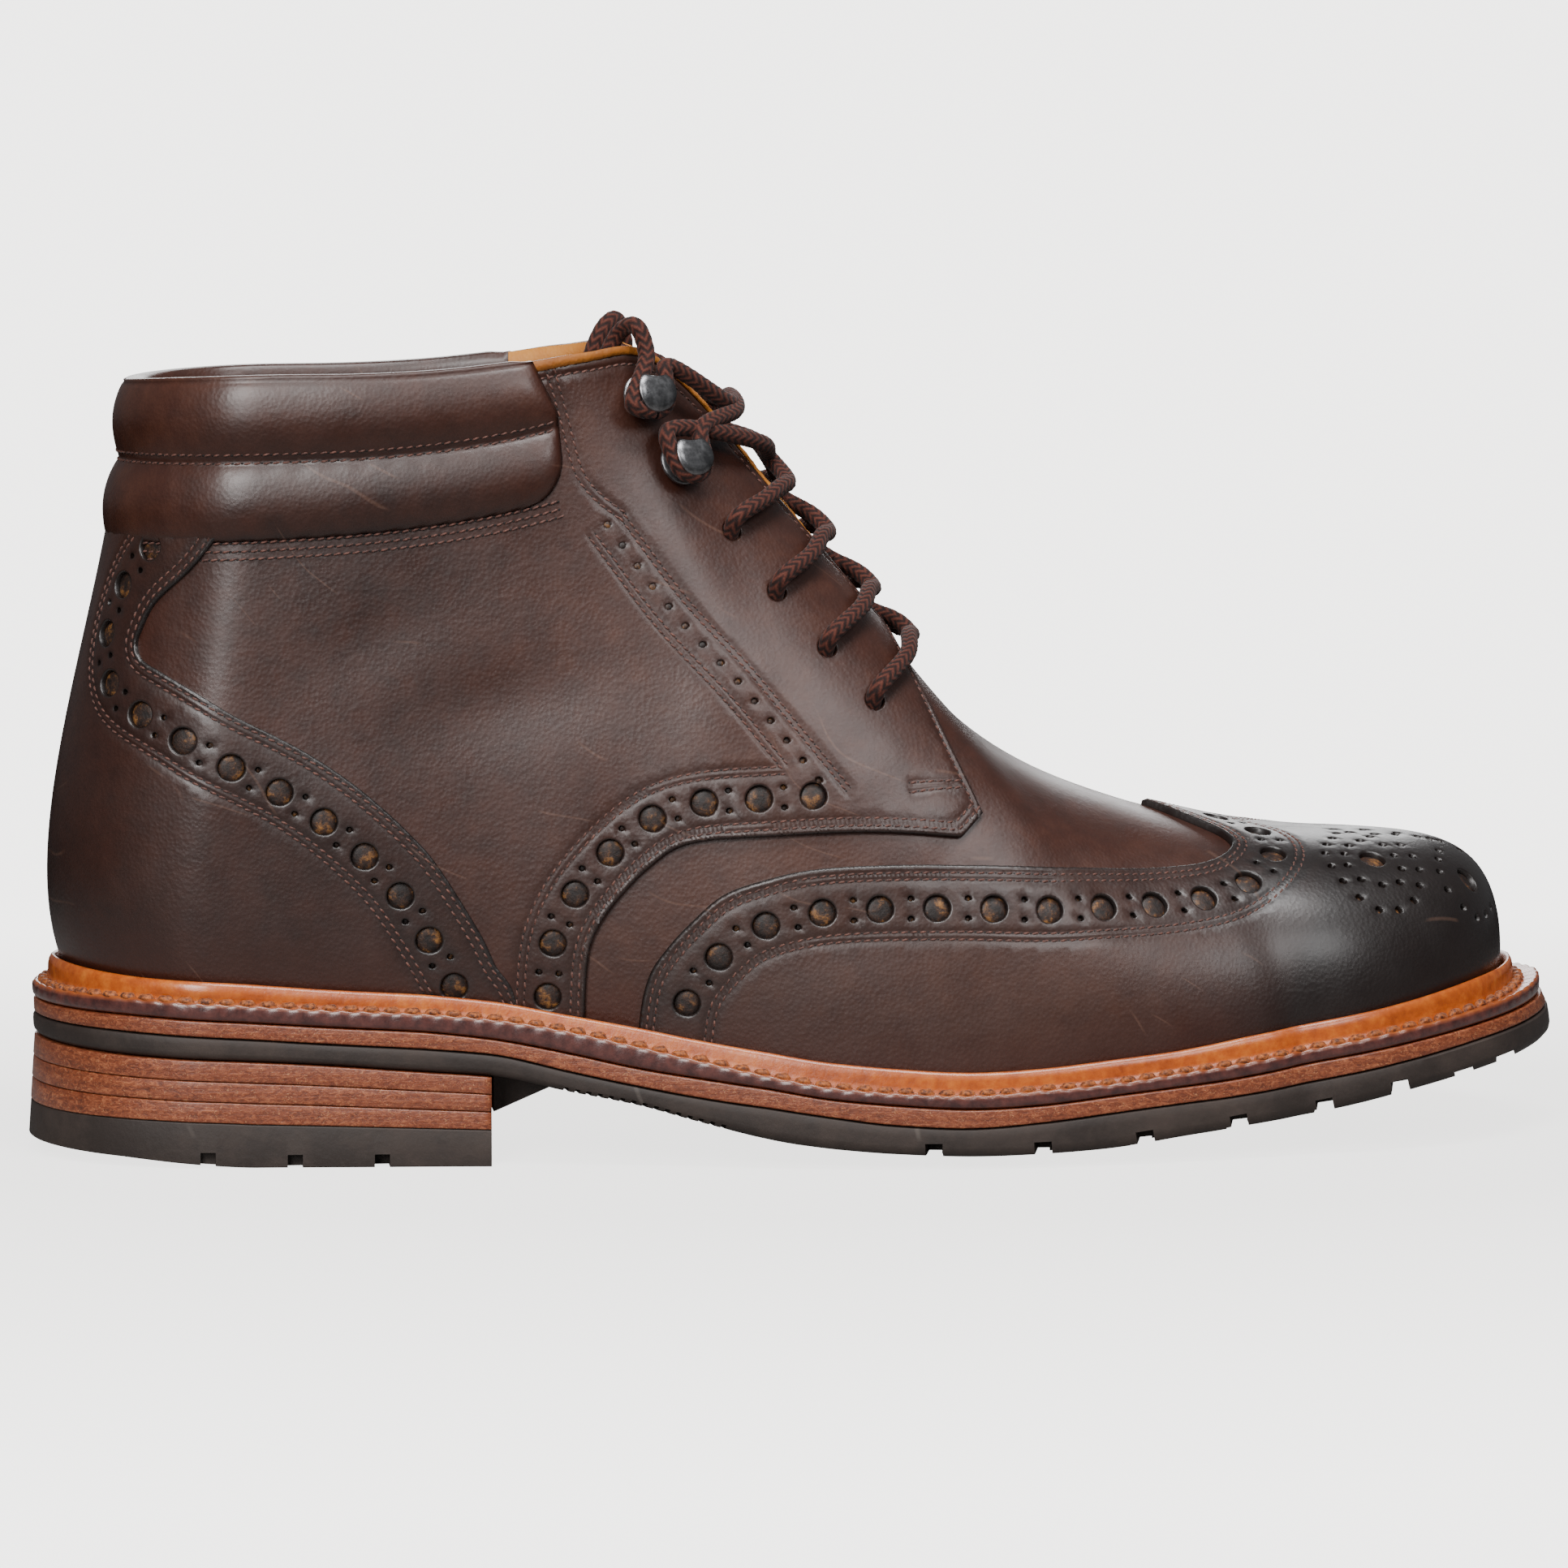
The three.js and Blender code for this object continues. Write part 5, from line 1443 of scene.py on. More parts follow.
def hole_floors(name, panels):
    """The pillowed leather seen at the bottom of each punched hole, in a material painted dark for the shade
    in the hole.
    """
    shape = []
    sides = FLOOR_SIDES
    turn = corners_round(sides)
    for share, height in FLOOR_ROWS:
        shape.append(np.stack([share * np.cos(turn), share * np.sin(turn), np.full(sides, height)], -1))
    faces = tube_faces(len(FLOOR_ROWS), sides)
    shape = np.vstack(shape)
    parts = []
    for panel in panels:
        for spot, radius in panel.holes:
            scaled = shape * np.array([radius, radius, 1.0 if radius > WIDE_HOLE else 0.5])
            base = skin(spot[0], spot[1], panel.side, 0.2)
            normal = skin_normal(spot[0], spot[1], panel.side)
            placed = oriented(scaled, base, normal)
            parts.append((placed, faces, np.zeros((len(placed), 1))))
    points, faces, _ = merge_parts(parts)
    new_piece(name, points, faces, MATERIALS["floor"])


# The shell of the upper and its lining

SKIN_STEP = 1.7


def even_places(first, last, spacing):
    fine = np.linspace(first, last, 1500)
    line = last_point(fine, 0.2, LATERAL)
    length = lengths_along(line)
    count = int(length[-1] / spacing)
    return np.interp(np.linspace(0, length[-1], count + 1), length, fine)


def skin_sheet(places, ups, height):
    """Both sides of the upper over given places and heights, at a height over the skin."""
    base = []
    normals = []
    faces = []
    for k, side in enumerate((LATERAL, MEDIAL)):
        grid_place, grid_up = np.meshgrid(places, ups, indexing="ij")
        base.append(skin(grid_place, grid_up, side).reshape(-1, 3))
        normals.append(skin_normal(grid_place, grid_up, side).reshape(-1, 3))
        quads = grid_faces(len(places), len(ups), k * grid_place.size, flip=side == MEDIAL)
        faces += quads.tolist()
    points, faces, extra = joined(np.vstack(base), faces, {"normal": np.vstack(normals)})
    return points, points + extra["normal"] * height, extra["normal"], faces


def make_shell():
    places = np.unique(np.concatenate([even_places(0, LAST_PLACE, SKIN_STEP), [CLOSED_FROM]]))
    ups = np.linspace(0, 1, 72)
    base, outer, normal, faces = skin_sheet(places, ups, 0.0)
    points, faces = walled(outer, base - normal * SHELL_WALL, faces)
    tones = {key: np.tile(value, 2) for key, value in leather_tones(base).items()}
    new_piece("upper_shell", points, faces, MATERIALS["upper"], ("upper",), tones)


def make_lining():
    """A golden sheet inside the shell, whose edge shows along the throat and the top."""
    places = np.unique(np.concatenate([even_places(0, LAST_PLACE, 2.6), [CLOSED_FROM]]))
    ups = np.linspace(0.03, 1, 44)
    base, outer, normal, faces = skin_sheet(places, ups, -SHELL_WALL - SHEET_GAP)
    points, faces = walled(outer, base - normal * UPPER_WALL, faces)
    new_piece("upper_lining", points, faces, MATERIALS["lining"])


# Wing cap, counter and quarters

LARGE_HOLE = 2.65
PIN_HOLE = 0.62
EYELET_HOLE = 1.95
EDGE_STEP = 0.8
HOLE_STEP = 0.2
PIN_ACROSS = 2.0
WING_ROWS = (1.6, 3.0, 13.4, 14.9)
WING_HOLES = 8.7
WING_HOLE_PITCH = 11.4
COUNTER_ROWS = (1.0, 2.5, 14.0, 15.4)
COUNTER_HOLES = 9.4
COUNTER_HOLE_PITCH = 10.6
BAND_ROWS = (12.1, 13.6)
BAND_HOLES = 7.5
BAND_HOLE_PITCH = 10.9
FRONT_ROWS = (1.3, 2.8)
THROAT_ROW = 2.0
COUNTER_UNDERLAP = 2.2
COUNTER_TOP = (0.108, 1.335)
STRIP_ROWS = (-4.4, -3.0, 2.9, 4.0)
STRIP_END = 12
TOP_ROWS = (-0.8, 0.8)
STRIP = [(0.365, 1.35), (0.407, 1.17), (0.453, 1.008), (0.514, 0.77)]
STRIP_PITCH = 5.2
STRIP_TOP = [(0.376, 1.366), (0.361, 1.402), (0.35, 1.44), (0.344, 1.48), (0.336, 1.581), (0.327, 1.682)]
BAR_TACK = [[(0.601, 0.799), (0.565, 0.801)], [(0.565, 0.781), (0.601, 0.786)]]
LINING_SHOWS = 1.7
MEDALLION_HOLE = 0.85
MEDALLION_LARGE = [(17.27, 0.6), (18.21, 0.4)]
MEDALLION_ARCS = [
    ([(17.98, 0.89), (17.15, 0.75), (16.81, 0.64), (16.73, 0.49), (16.88, 0.37), (17.25, 0.37), (17.61, 0.49),
      (17.92, 0.66)], 15),
    ([(17.86, 0.76), (17.25, 0.7), (16.94, 0.6), (16.92, 0.49), (17.24, 0.46), (17.42, 0.51),
      (17.69, 0.68)], 11),
    ([(18.31, 0.57), (18.02, 0.52), (17.83, 0.45), (17.78, 0.35), (18.04, 0.25), (18.44, 0.26)], 8),
    ([(17.87, 0.83), (18.17, 0.76), (18.46, 0.73), (18.81, 0.61)], 5),
    ([(18.39, 0.84), (18.65, 0.68), (18.87, 0.52)], 4),
]


def brogue_holes(panel, path, pitch, lead, count=None):
    """Large holes in even steps along a path, with a pair of pin holes across it in each gap."""
    chart = panel.chart
    fine = chart.walk(path, HOLE_STEP)
    first = int(lead / HOLE_STEP)
    step = int(round(pitch / HOLE_STEP))
    spots = list(range(first, len(fine) - 4, step))[:count]
    panel.holes += [(fine[i], LARGE_HOLE) for i in spots]
    for i in spots[:-1]:
        middle = fine[max(i + step // 2 - 8, 0):i + step // 2 + 9]
        for across in (-PIN_ACROSS, PIN_ACROSS):
            moved = chart.shifted(middle, across)
            panel.holes.append((moved[len(moved) // 2], PIN_HOLE))


def from_foot(path):
    return meet(path, 0, 1, PANEL_FOOT)


def foot_to_ridge(path):
    return meet(from_foot(path), -1, 1, 1.0)


def closed_loop(*parts):
    return np.vstack([part[:-1] for part in parts])


def wing_panel(side, ridge_place):
    chart = SKINS[side]
    edge = foot_to_ridge(on_skin(side, WING_EDGE))
    edge[-1] = (ridge_place or edge[-1, 0], 1.0)
    edge = chart.walk(edge, EDGE_STEP)
    loop = closed_loop(
        edge,
        straight(edge[-1], (LAST_PLACE, 1.0), 0.05),
        straight((LAST_PLACE, 1.0), (LAST_PLACE, PANEL_FOOT), 0.03),
        straight((LAST_PLACE, PANEL_FOOT), edge[0], 0.06),
    )
    panel = Panel(side, loop, [edge])
    panel.inward = 1
    panel.rows = [foot_to_ridge(chart.shifted(edge, distance)) for distance in WING_ROWS]
    brogue_holes(panel, foot_to_ridge(chart.shifted(edge, WING_HOLES)), WING_HOLE_PITCH, 9.5, 16)
    for points, count in MEDALLION_ARCS:
        path = chart.walk(spline(points, 8), HOLE_STEP)
        chosen = np.linspace(0, len(path) - 1, count).astype(int)
        panel.holes += [(path[k], MEDALLION_HOLE) for k in chosen]
    panel.holes += [(np.array(spot), LARGE_HOLE) for spot in MEDALLION_LARGE]
    return panel, edge[-1, 0]


def counter_panel(side):
    chart = SKINS[side]
    edge = on_skin(side, COUNTER_EDGE + [COUNTER_TOP])
    edge = chart.walk(from_foot(edge), EDGE_STEP)
    loop = closed_loop(
        edge,
        straight(edge[-1], (0, edge[-1, 1])),
        straight((0, edge[-1, 1]), (0, PANEL_FOOT), 0.02),
        straight((0, PANEL_FOOT), edge[0]),
    )
    panel = Panel(side, loop, [edge])
    panel.inward = -1
    panel.rows = [from_foot(chart.shifted(edge, -distance)) for distance in COUNTER_ROWS]
    brogue_holes(panel, from_foot(chart.shifted(edge, -COUNTER_HOLES)), COUNTER_HOLE_PITCH, 6.0, 15)
    return panel


TOP_START = 6.0


def quarter_panel(side):
    """Quarter and facing in one flush piece, from the counter and collar to the throat and the vamp."""
    chart = SKINS[side]
    front = on_skin(side, FACING_FRONT[:10])
    corner = chart.seen(side_view(FACING_FRONT[9:12], 0))
    rise = chart.seen(side_view(FACING_FRONT[11:], 3))
    rise = meet(rise, -1, 1, 1.0)
    rim = chart.walk(straight(rise[-1], (TOP_START, 1.0), 0.05), EDGE_STEP)
    throat = chart.shifted(rim, -LINING_SHOWS)
    rise = meet(rise, -1, 1, float(throat[0, 1]))
    throat = np.vstack([rise[-1:], throat[1:]])
    lower = chart.walk(from_foot(np.vstack([front, corner[1:2]])), EDGE_STEP)
    rise = chart.walk(np.vstack([corner[1:2], rise]), EDGE_STEP)
    front_edge = np.vstack([lower[:-1], rise])
    back = on_skin(side, COUNTER_EDGE + [COUNTER_TOP])
    back = from_foot(chart.walk(chart.shifted(from_foot(back), -COUNTER_UNDERLAP), 1.2))
    loop = closed_loop(
        front_edge,
        throat,
        straight(throat[-1], back[-1], 0.05),
        back[::-1],
        straight(back[0], front_edge[0], 0.06),
    )
    panel = Panel(side, loop, [front_edge, throat])
    panel.inward = -1
    panel.front = front_edge
    panel.rows = [from_foot(chart.shifted(lower, -distance)) for distance in FRONT_ROWS]
    panel.rows.append(chart.shifted(rise, -FRONT_ROWS[0]))
    panel.rows.append(chart.shifted(throat, -THROAT_ROW)[3:-3])
    panel.rim = rim
    upper = chart.walk(chart.seen(side_view(STRIP_TOP)), EDGE_STEP)
    panel.rows += [chart.shifted(upper, distance) for distance in TOP_ROWS]
    panel.rows += [chart.walk(chart.seen(side_view(tack, 0)), EDGE_STEP) for tack in BAR_TACK]
    strip = chart.walk(chart.seen(side_view(STRIP)), EDGE_STEP)
    band_end = strip[-1, 0] - 0.25
    for distance in BAND_ROWS:
        row = from_foot(chart.shifted(lower, -distance))
        panel.rows.append(row[row[:, 0] < band_end - 0.35])
    band = from_foot(chart.shifted(lower, -BAND_HOLES))
    band = band[band[:, 0] < band_end + 0.1]
    brogue_holes(panel, band[::-1], BAND_HOLE_PITCH, 1.0)
    for distance in STRIP_ROWS:
        row = chart.shifted(strip, -distance)
        panel.rows.append(row[:-STRIP_END] if distance < 0 else row)
    marks = chart.walk(strip, STRIP_PITCH)
    panel.holes += [(spot, PIN_HOLE * 1.15) for spot in marks[:-1]]
    panel.holes += [(np.array(spot), EYELET_HOLE) for spot in EYELETS]
    return panel


def quarter_top(front_points):
    """Full leather height at the front edge, sinking to meet the counter's underlap."""
    def height(points):
        reach = nearest(points, front_points)
        return 0.42 + (OVERLAY_TOP - 0.52) * np.exp(-(reach / 34) ** 2)
    return height


def lining_rim(word, panel):
    """The tan lining's edge, showing past the leather along the throat and the top."""
    spots = panel.rim[2:-2]
    side = panel.side
    share = (LINING_SHOWS + 0.5) / np.interp(spots[:, 0], panel.chart.places, panel.chart.rise)
    low = 1.0 - share
    wave = 0.07 * np.sin(np.arange(len(spots)) * 1.9) + 0.05 * np.sin(np.arange(len(spots)) * 0.7)
    loop = [skin(spots[:, 0], up, side, out) for up, out in (
        (low, 0.05), (low, 0.5 + wave), (low + share * 0.5, 0.62 + wave), (low + share * 0.9, 0.55 + wave),
        (np.ones(len(spots)), 0.3 + wave), (np.ones(len(spots)), -0.2 + 0 * wave))]
    points = np.stack(loop, 1)
    new_piece(f"lining_rim_{word}", points.reshape(-1, 3), tube_faces(*points.shape[:2]), MATERIALS["lining"])


def panel_seams(name, panels, height):
    seams = Seams(name)
    for panel in panels:
        for row in panel.rows:
            seams.row(panel.side, row, height)
    seams.make()


def make_panels():
    wing_lateral, ridge = wing_panel(LATERAL, None)
    wing_medial, _ = wing_panel(MEDIAL, ridge)
    counters = [counter_panel(side) for side in (LATERAL, MEDIAL)]
    for word, name, node, panels in (("wing", "wing_cap_panel", "wing_cap", [wing_lateral, wing_medial]),
                                     ("counter", "counter_panel", "counter", counters)):
        panel_piece(name, panels, OVERLAY_TOP, (node,), "cap")
        hole_floors(f"{word}_hole_floors", panels)
        panel_seams(word, panels, OVERLAY_TOP)
    for side, word in SIDES:
        panel = quarter_panel(side)
        front = panel.chart.points(panel.chart.walk(panel.front, EDGE_STEP))
        top = quarter_top(front)
        panel_piece(f"quarter_{word}", [panel], top, (f"facing_{word}",))
        panel.holes = [hole for hole in panel.holes if hole[1] != EYELET_HOLE]
        hole_floors(f"quarter_{word}_hole_floors", [panel])
        lining_rim(word, panel)
        panel_seams(f"quarter_{word}", [panel], top)


# The padded collar: two lobes round the back of the leg, joined by a double row of stitches

COLLAR_LOBE = 2.3
COLLAR_EDGE = 0.75
COLLAR_END = 4.5
COLLAR_CORNER = 0.3
COLLAR_SEAMS = (0.48, 0.535)
COLLAR_SEAM_DROPS = (1.7, 3.1)
PUCKER = 0.1
PUCKER_PITCH = 5.3
COLLAR_ROLL = [(COLLAR_EDGE + 0.2, 0.3), (0.25, 0.65), (-0.9, 0.72), (-2.1, 0.5), (-UPPER_WALL - 0.45, 0.2),
               (-UPPER_WALL - 0.4, -2.5), (-UPPER_WALL - 0.1, -4.5), (-1.6, -4.6), (0.1, -4.2)]


def collar_bottom(place, side):
    """Share of the way up a section where the collar's lower seam runs."""
    seam = LEG_RISE * (COLLAR_BACK + COLLAR_FRONT_LIFT * (place / COLLAR_REACH) ** 3)
    return sum(ups_at_height(place, side, seam, 1.0)) / 2


def collar_thickness(b, end):
    """Height of the two lobes over the leg: b runs from the lower seam to the top."""
    lobes = np.abs(np.sin(2 * math.pi * np.clip(b, 0, 1) ** 0.98)) ** 0.72
    ends = np.clip(end / COLLAR_END, 0, 1)
    ends = np.sqrt(np.maximum(1 - (1 - ends) ** 2, 0))
    return COLLAR_EDGE + COLLAR_LOBE * lobes * ends


def make_collar():
    rise = np.linspace(0, 1, 40)
    reach = even_places(0, COLLAR_REACH, 1.5)
    columns = []
    for side in (LATERAL, MEDIAL):
        places = reach[::-1] if side == LATERAL else reach[1:]
        line = lengths_along(last_point(reach, 0.9, side))
        grid_place, b = np.meshgrid(places, rise, indexing="ij")
        bend = 1 - np.sqrt(np.maximum(1 - (1 - b / COLLAR_CORNER) ** 2, 0))
        corner = np.where(b < COLLAR_CORNER, 0.55 * bend, 0)
        limit = COLLAR_REACH - corner - np.maximum(b - 0.6, 0) * 0.8
        spot = grid_place * limit / COLLAR_REACH
        bottom = collar_bottom(spot, side)
        up = bottom + (1 - bottom) * b
        end = np.interp(COLLAR_REACH - grid_place, COLLAR_REACH - reach[::-1], line[::-1][0] - line[::-1])
        wave = np.sin(end * 2 * math.pi / PUCKER_PITCH + 3 * np.sin(end / 17))
        pucker = PUCKER * wave * (np.exp(-((b - 0.5) / 0.07) ** 2) + np.exp(-(b / 0.06) ** 2))
        out = collar_thickness(b, end) + pucker
        outer = skin(spot, up, side, out)
        top = skin(spot[:, -1], np.ones(len(places)), side, 0)
        normal = skin_normal(spot[:, -1], np.ones(len(places)), side)
        level = unit(normal * np.array([1, 1, 0.2]))
        ends = np.clip(end[:, -1] / COLLAR_END, 0.25, 1)[:, None]
        over = np.stack([top + level * out_by + np.array([0, 0, 1]) * (up_by * ends if up_by > 0 else up_by)
                         for out_by, up_by in COLLAR_ROLL], 1)
        under = skin(spot[:, :1], up[:, :1], side, 0.15)
        columns.append(np.concatenate([under, outer, over], axis=1))
    points = np.concatenate(columns)
    faces = tube_faces(*points.shape[:2])
    flat = points.reshape(-1, 3)
    shares = np.tile(np.concatenate([[0], rise, np.ones(len(COLLAR_ROLL))]), len(points))
    # Darker along the lower seam and the seam between the two lobes: burnish, and painted shade in those
    # creases.
    dark = 0.55 * np.exp(-(shares / 0.035) ** 2) + 0.25 * np.exp(-((shares - 0.5) / 0.03) ** 2)
    piece = new_piece("padded_collar", flat, faces, MATERIALS["upper"], ("collar",),
                      leather_tones(flat, dark))
    seams = Seams("collar")
    for side in (LATERAL, MEDIAL):
        places = reach[:-2]
        bottom = collar_bottom(places, side)
        for share in COLLAR_SEAMS:
            row = np.stack([places, bottom + (1 - bottom) * share], -1)
            seams.row(side, row, float(collar_thickness(np.array(share), np.array(9.0))) + ROW_DEPTH - 0.05)
        rise = np.interp(places, SKINS[side].places, SKINS[side].rise)
        for drop, height in [(drop, 0.72) for drop in COLLAR_SEAM_DROPS] + [(0.2, 0.95)]:
            seams.row(side, np.stack([places, bottom - drop / rise], -1), height)
    seams.make()


# The tongue, just inside the throat


def make_tongue():
    places = np.linspace(TONGUE_TOP, TONGUE_FOOT, 90)
    shares = np.linspace(TONGUE_WRAP, 0.985, 12)[::3]
    loops = []
    for out in (-UPPER_WALL - 1.3, -UPPER_WALL - 3.3):
        rows = []
        for place in places:
            lateral, medial = (np.array([bare_point(place, up, side, out) for up in shares])
                               for side in (LATERAL, MEDIAL))
            medial = medial[::-1]
            middle = (lateral[-1] + medial[0]) / 2
            opened = np.clip(section_at(place)["top"] / 0.13, 0, 1)
            forward = unit(one_side_normal(place, 1.0, LATERAL) * np.array([1, 0, 1]))
            middle = middle + forward * 0.8 * opened
            rows.append(smooth_curve([*lateral, middle, *medial], 1.6))
        count = 30
        rows = [np.stack([np.interp(np.linspace(0, 1, count), np.linspace(0, 1, len(r)), r[:, k])
                          for k in range(3)], -1) for r in rows]
        loops.append(np.array(rows))
    outer, inner = loops
    edge_left = (outer[:, :1] * 0.5 + inner[:, :1] * 0.5) + (outer[:, :1] - outer[:, 1:2]) * 0.3
    edge_right = (outer[:, -1:] * 0.5 + inner[:, -1:] * 0.5) + (outer[:, -1:] - outer[:, -2:-1]) * 0.3
    loop = np.concatenate([edge_left, outer, edge_right, inner[:, ::-1]], axis=1)
    points = loop.reshape(-1, 3)
    tones = {"burnish_and_shade": np.full(len(points), 0.1), "warm": np.zeros(len(points))}
    new_piece("tongue_leather", points, tube_faces(*loop.shape[:2]), MATERIALS["upper"],
              ("tongue",), tones)


# Speed hooks: a plate on the facing, a neck, and a curved cap with a bite out of its throat side

CAP_RADIUS = 4.4
CAP_SIDES = 40
BITE_RADIUS = 7
BITE_AT = 10
CAP_ROWS = [(0.02, 0.55), (0.35, 0.55), (0.7, 0.55), (0.93, 0.495), (1.0, 0.205),
            (1.0, -0.05), (0.93, -0.45), (0.5, -0.45), (0.02, -0.45)]


def cap_shape():
    turn = corners_round(CAP_SIDES)
    rim = np.full(CAP_SIDES, CAP_RADIUS)
    middle = BITE_AT * np.cos(turn)
    inner = BITE_RADIUS ** 2 - BITE_AT ** 2 + middle * middle
    bite = middle - np.sqrt(np.maximum(inner, 0))
    rim = np.where((inner > 0) & (middle > 0) & (bite < rim), bite, rim)
    rows = []
    for share, height in CAP_ROWS:
        x = share * rim * np.cos(turn)
        y = share * rim * np.sin(turn)
        rows.append(np.stack([x, y, height - 0.05 * x * x - 0.012 * y * y], -1))
    points = np.vstack(rows)
    return points, turned_out(points, tube_faces(len(rows), CAP_SIDES))


HOOK_GAP = LACE_DIAMETER + 2 * CLEARANCE
STEM_TOP = HOOK_PLATE_THICKNESS + HOOK_GAP
HOOK_PLATE = [
    (0.0, 0.0), (4.3, 0.0), (HOOK_PLATE_RADIUS, 0.25), (HOOK_PLATE_RADIUS, 0.75), (4.25, 1.05), (2.6, 1.15),
    (1.9, 1.35), (1.5, 2.0), (1.42, 3.2), (1.5, STEM_TOP - 0.3), (2.2, STEM_TOP + 0.35),
    (0.0, STEM_TOP + 0.4),
]


def make_hooks():
    for side, word in SIDES:
        for number, hook in enumerate(HOOKS, 1):
            centre, out, inward, _ = hook_frame(hook, side)
            base_points, base_faces = lathe(HOOK_PLATE, 28)
            cap_points, cap_faces = cap_shape()
            seat = centre + out * (HOOK_BASE - 0.55)
            stem = oriented(base_points, seat, out, inward)
            cap = oriented(cap_points, seat + out * (STEM_TOP + 0.75), out, inward)
            points, faces, _ = merge_parts([(stem, base_faces, np.zeros((len(stem), 1))),
                                            (cap, cap_faces, np.zeros((len(cap), 1)))])
            piece = new_piece(f"speed_hook_{word}_{number}", points, faces, MATERIALS["metal"],
                              (f"hook_{word}_{number}",))
            piece.data.set_sharp_from_angle(angle=math.radians(40))


# The sole: layers lofted round the foot's outline


def foot_outline(place, side):
    s = section_at(place)
    heading = np.radians(s["turn"])
    half = s["outer" if side == LATERAL else "inner"] * HALF_BALL
    x = HEEL_X + LAST_LENGTH * s["at"] + np.sin(heading) * half
    return np.stack([x, side * np.cos(heading) * half + toe_swing(x)], -1)


def outline(place, side, reach):
    """The foot's outline moved out in plan."""
    step = 0.02
    ahead = foot_outline(np.minimum(place + step, LAST_PLACE), side)
    behind = foot_outline(np.maximum(place - step, 0), side)
    along = unit(ahead - behind)
    out = np.stack([-side * along[..., 1], side * along[..., 0]], -1)
    out[place < step / 4] = (-1, 0)
    out[place > LAST_PLACE - step / 4] = (1, 0)
    return foot_outline(place, side) + out * np.asarray(reach, float)[..., None]


def edge_reach(place, shift=0.0, flare=0.0):
    heading = np.radians(section_at(place)["turn"])
    end = np.sin(heading) ** 2
    return WELT_REACH + END_REACH * end + shift + np.where(heading > 0, flare * end, 0)


def slab(sides, crown=(), spacing=1.6, last=LAST_PLACE):
    """A layer of the sole: its edge from the bottom up, across under the foot, and up the inner side."""
    places = even_places(0, last, spacing)
    loops = {}
    for side in (LATERAL, MEDIAL):
        rows = []
        for reach, height in sides:
            flat = outline(places, side, reach(places))
            rows.append(np.concatenate([flat, height(flat[:, 0])[:, None]], -1))
        loops[side] = rows
    across = []
    for share, height in crown:
        flat = loops[LATERAL][0][:, :2] * (0.5 - share / 2) + loops[MEDIAL][0][:, :2] * (0.5 + share / 2)
        across.append(np.concatenate([flat, height(flat[:, 0])[:, None]], -1))
    loop = np.stack(loops[LATERAL][::-1] + across + loops[MEDIAL], axis=1)
    quads = tube_faces(*loop.shape[:2])
    front_cap = quads[-1:] if last < LAST_PLACE else []
    points, faces, _ = joined(loop.reshape(-1, 3), quads[:-2] + front_cap)
    return points, faces


def shelf(name, shift=0.0):
    return lambda x: profile_at(x)[name] + shift


def between(low, high, share):
    """A height at a share of the way from one level of the sole's edge to another."""
    return lambda x: profile_at(x)[low] + share * (profile_at(x)[high] - profile_at(x)[low])


def edge_rows(low, high, low_reach, high_reach, radius=0.45, steps=4):
    """A layer's edge from bottom to top, rounded at both corners: reaches are functions of the place."""
    turns = [math.pi / 2 * k / steps for k in range(steps + 1)]
    corner = [(radius * (1 - math.sin(turn)), radius * (1 - math.cos(turn))) for turn in turns]
    rows = [(lambda p, inset=inset: low_reach(p) - inset, lambda x, lift=lift: low(x) + lift)
            for inset, lift in corner]
    return rows + [(lambda p, inset=inset: high_reach(p) - inset, lambda x, lift=lift: high(x) - lift)
                   for inset, lift in corner[::-1]]


WELT_PITCH = 4.1
WELT_STEPS = 8
WELT_INSIDE = UPPER_WALL + 1.2
RIDGE_ANGLES = (-8, 18, 44, 68, 90, 115, 140, 165)
WELT_STITCH = (3.7, 0.92)
MIDSOLE_FLARE = 1.6
MIDSOLE_TOP_FLARE = 0.8


def lean_at_ridge(places, side):
    foot = last_point(places, 0.0, side)
    up, _ = ups_at_height(places, side, profile_at(foot[:, 0])["ridge"], 0.6)
    there = last_point(places, up, side)
    return np.hypot(there[:, 0] - foot[:, 0], there[:, 1] - foot[:, 1])


def welt_edge(edge, gutter, bulge, mid, welt):
    """From the welt's underside round its edge to the gutter: reach, level, lift and burgundy tone."""
    return [
        (edge - 0.75, mid, 0.0, 0.0), (edge - 0.3, mid, 0.12, 1.0), (edge, mid, 0.5, 1.0),
        (edge + 0.12, mid, 1.0, 1.0), (edge + 0.16 * bulge, welt, -0.85, 1.0),
        (edge - 0.15 + 0.25 * bulge, welt, -0.32 + 0.1 * bulge, 0.9),
        (edge - 0.55 + 0.15 * bulge, welt, 0.02 + 0.22 * bulge, 0.75),
        (edge - 1.0, welt, 0.0 + 0.2 * bulge, 0.6), (gutter + 0.75, welt, -0.1, 0.5),
        (gutter + 0.35, welt, -0.32, 0.4), (gutter, welt, -0.4, 0.35), (gutter - 0.45, welt, -0.28, 0.3),
        (gutter - 0.85, welt, 0.1, 0.2),
    ]


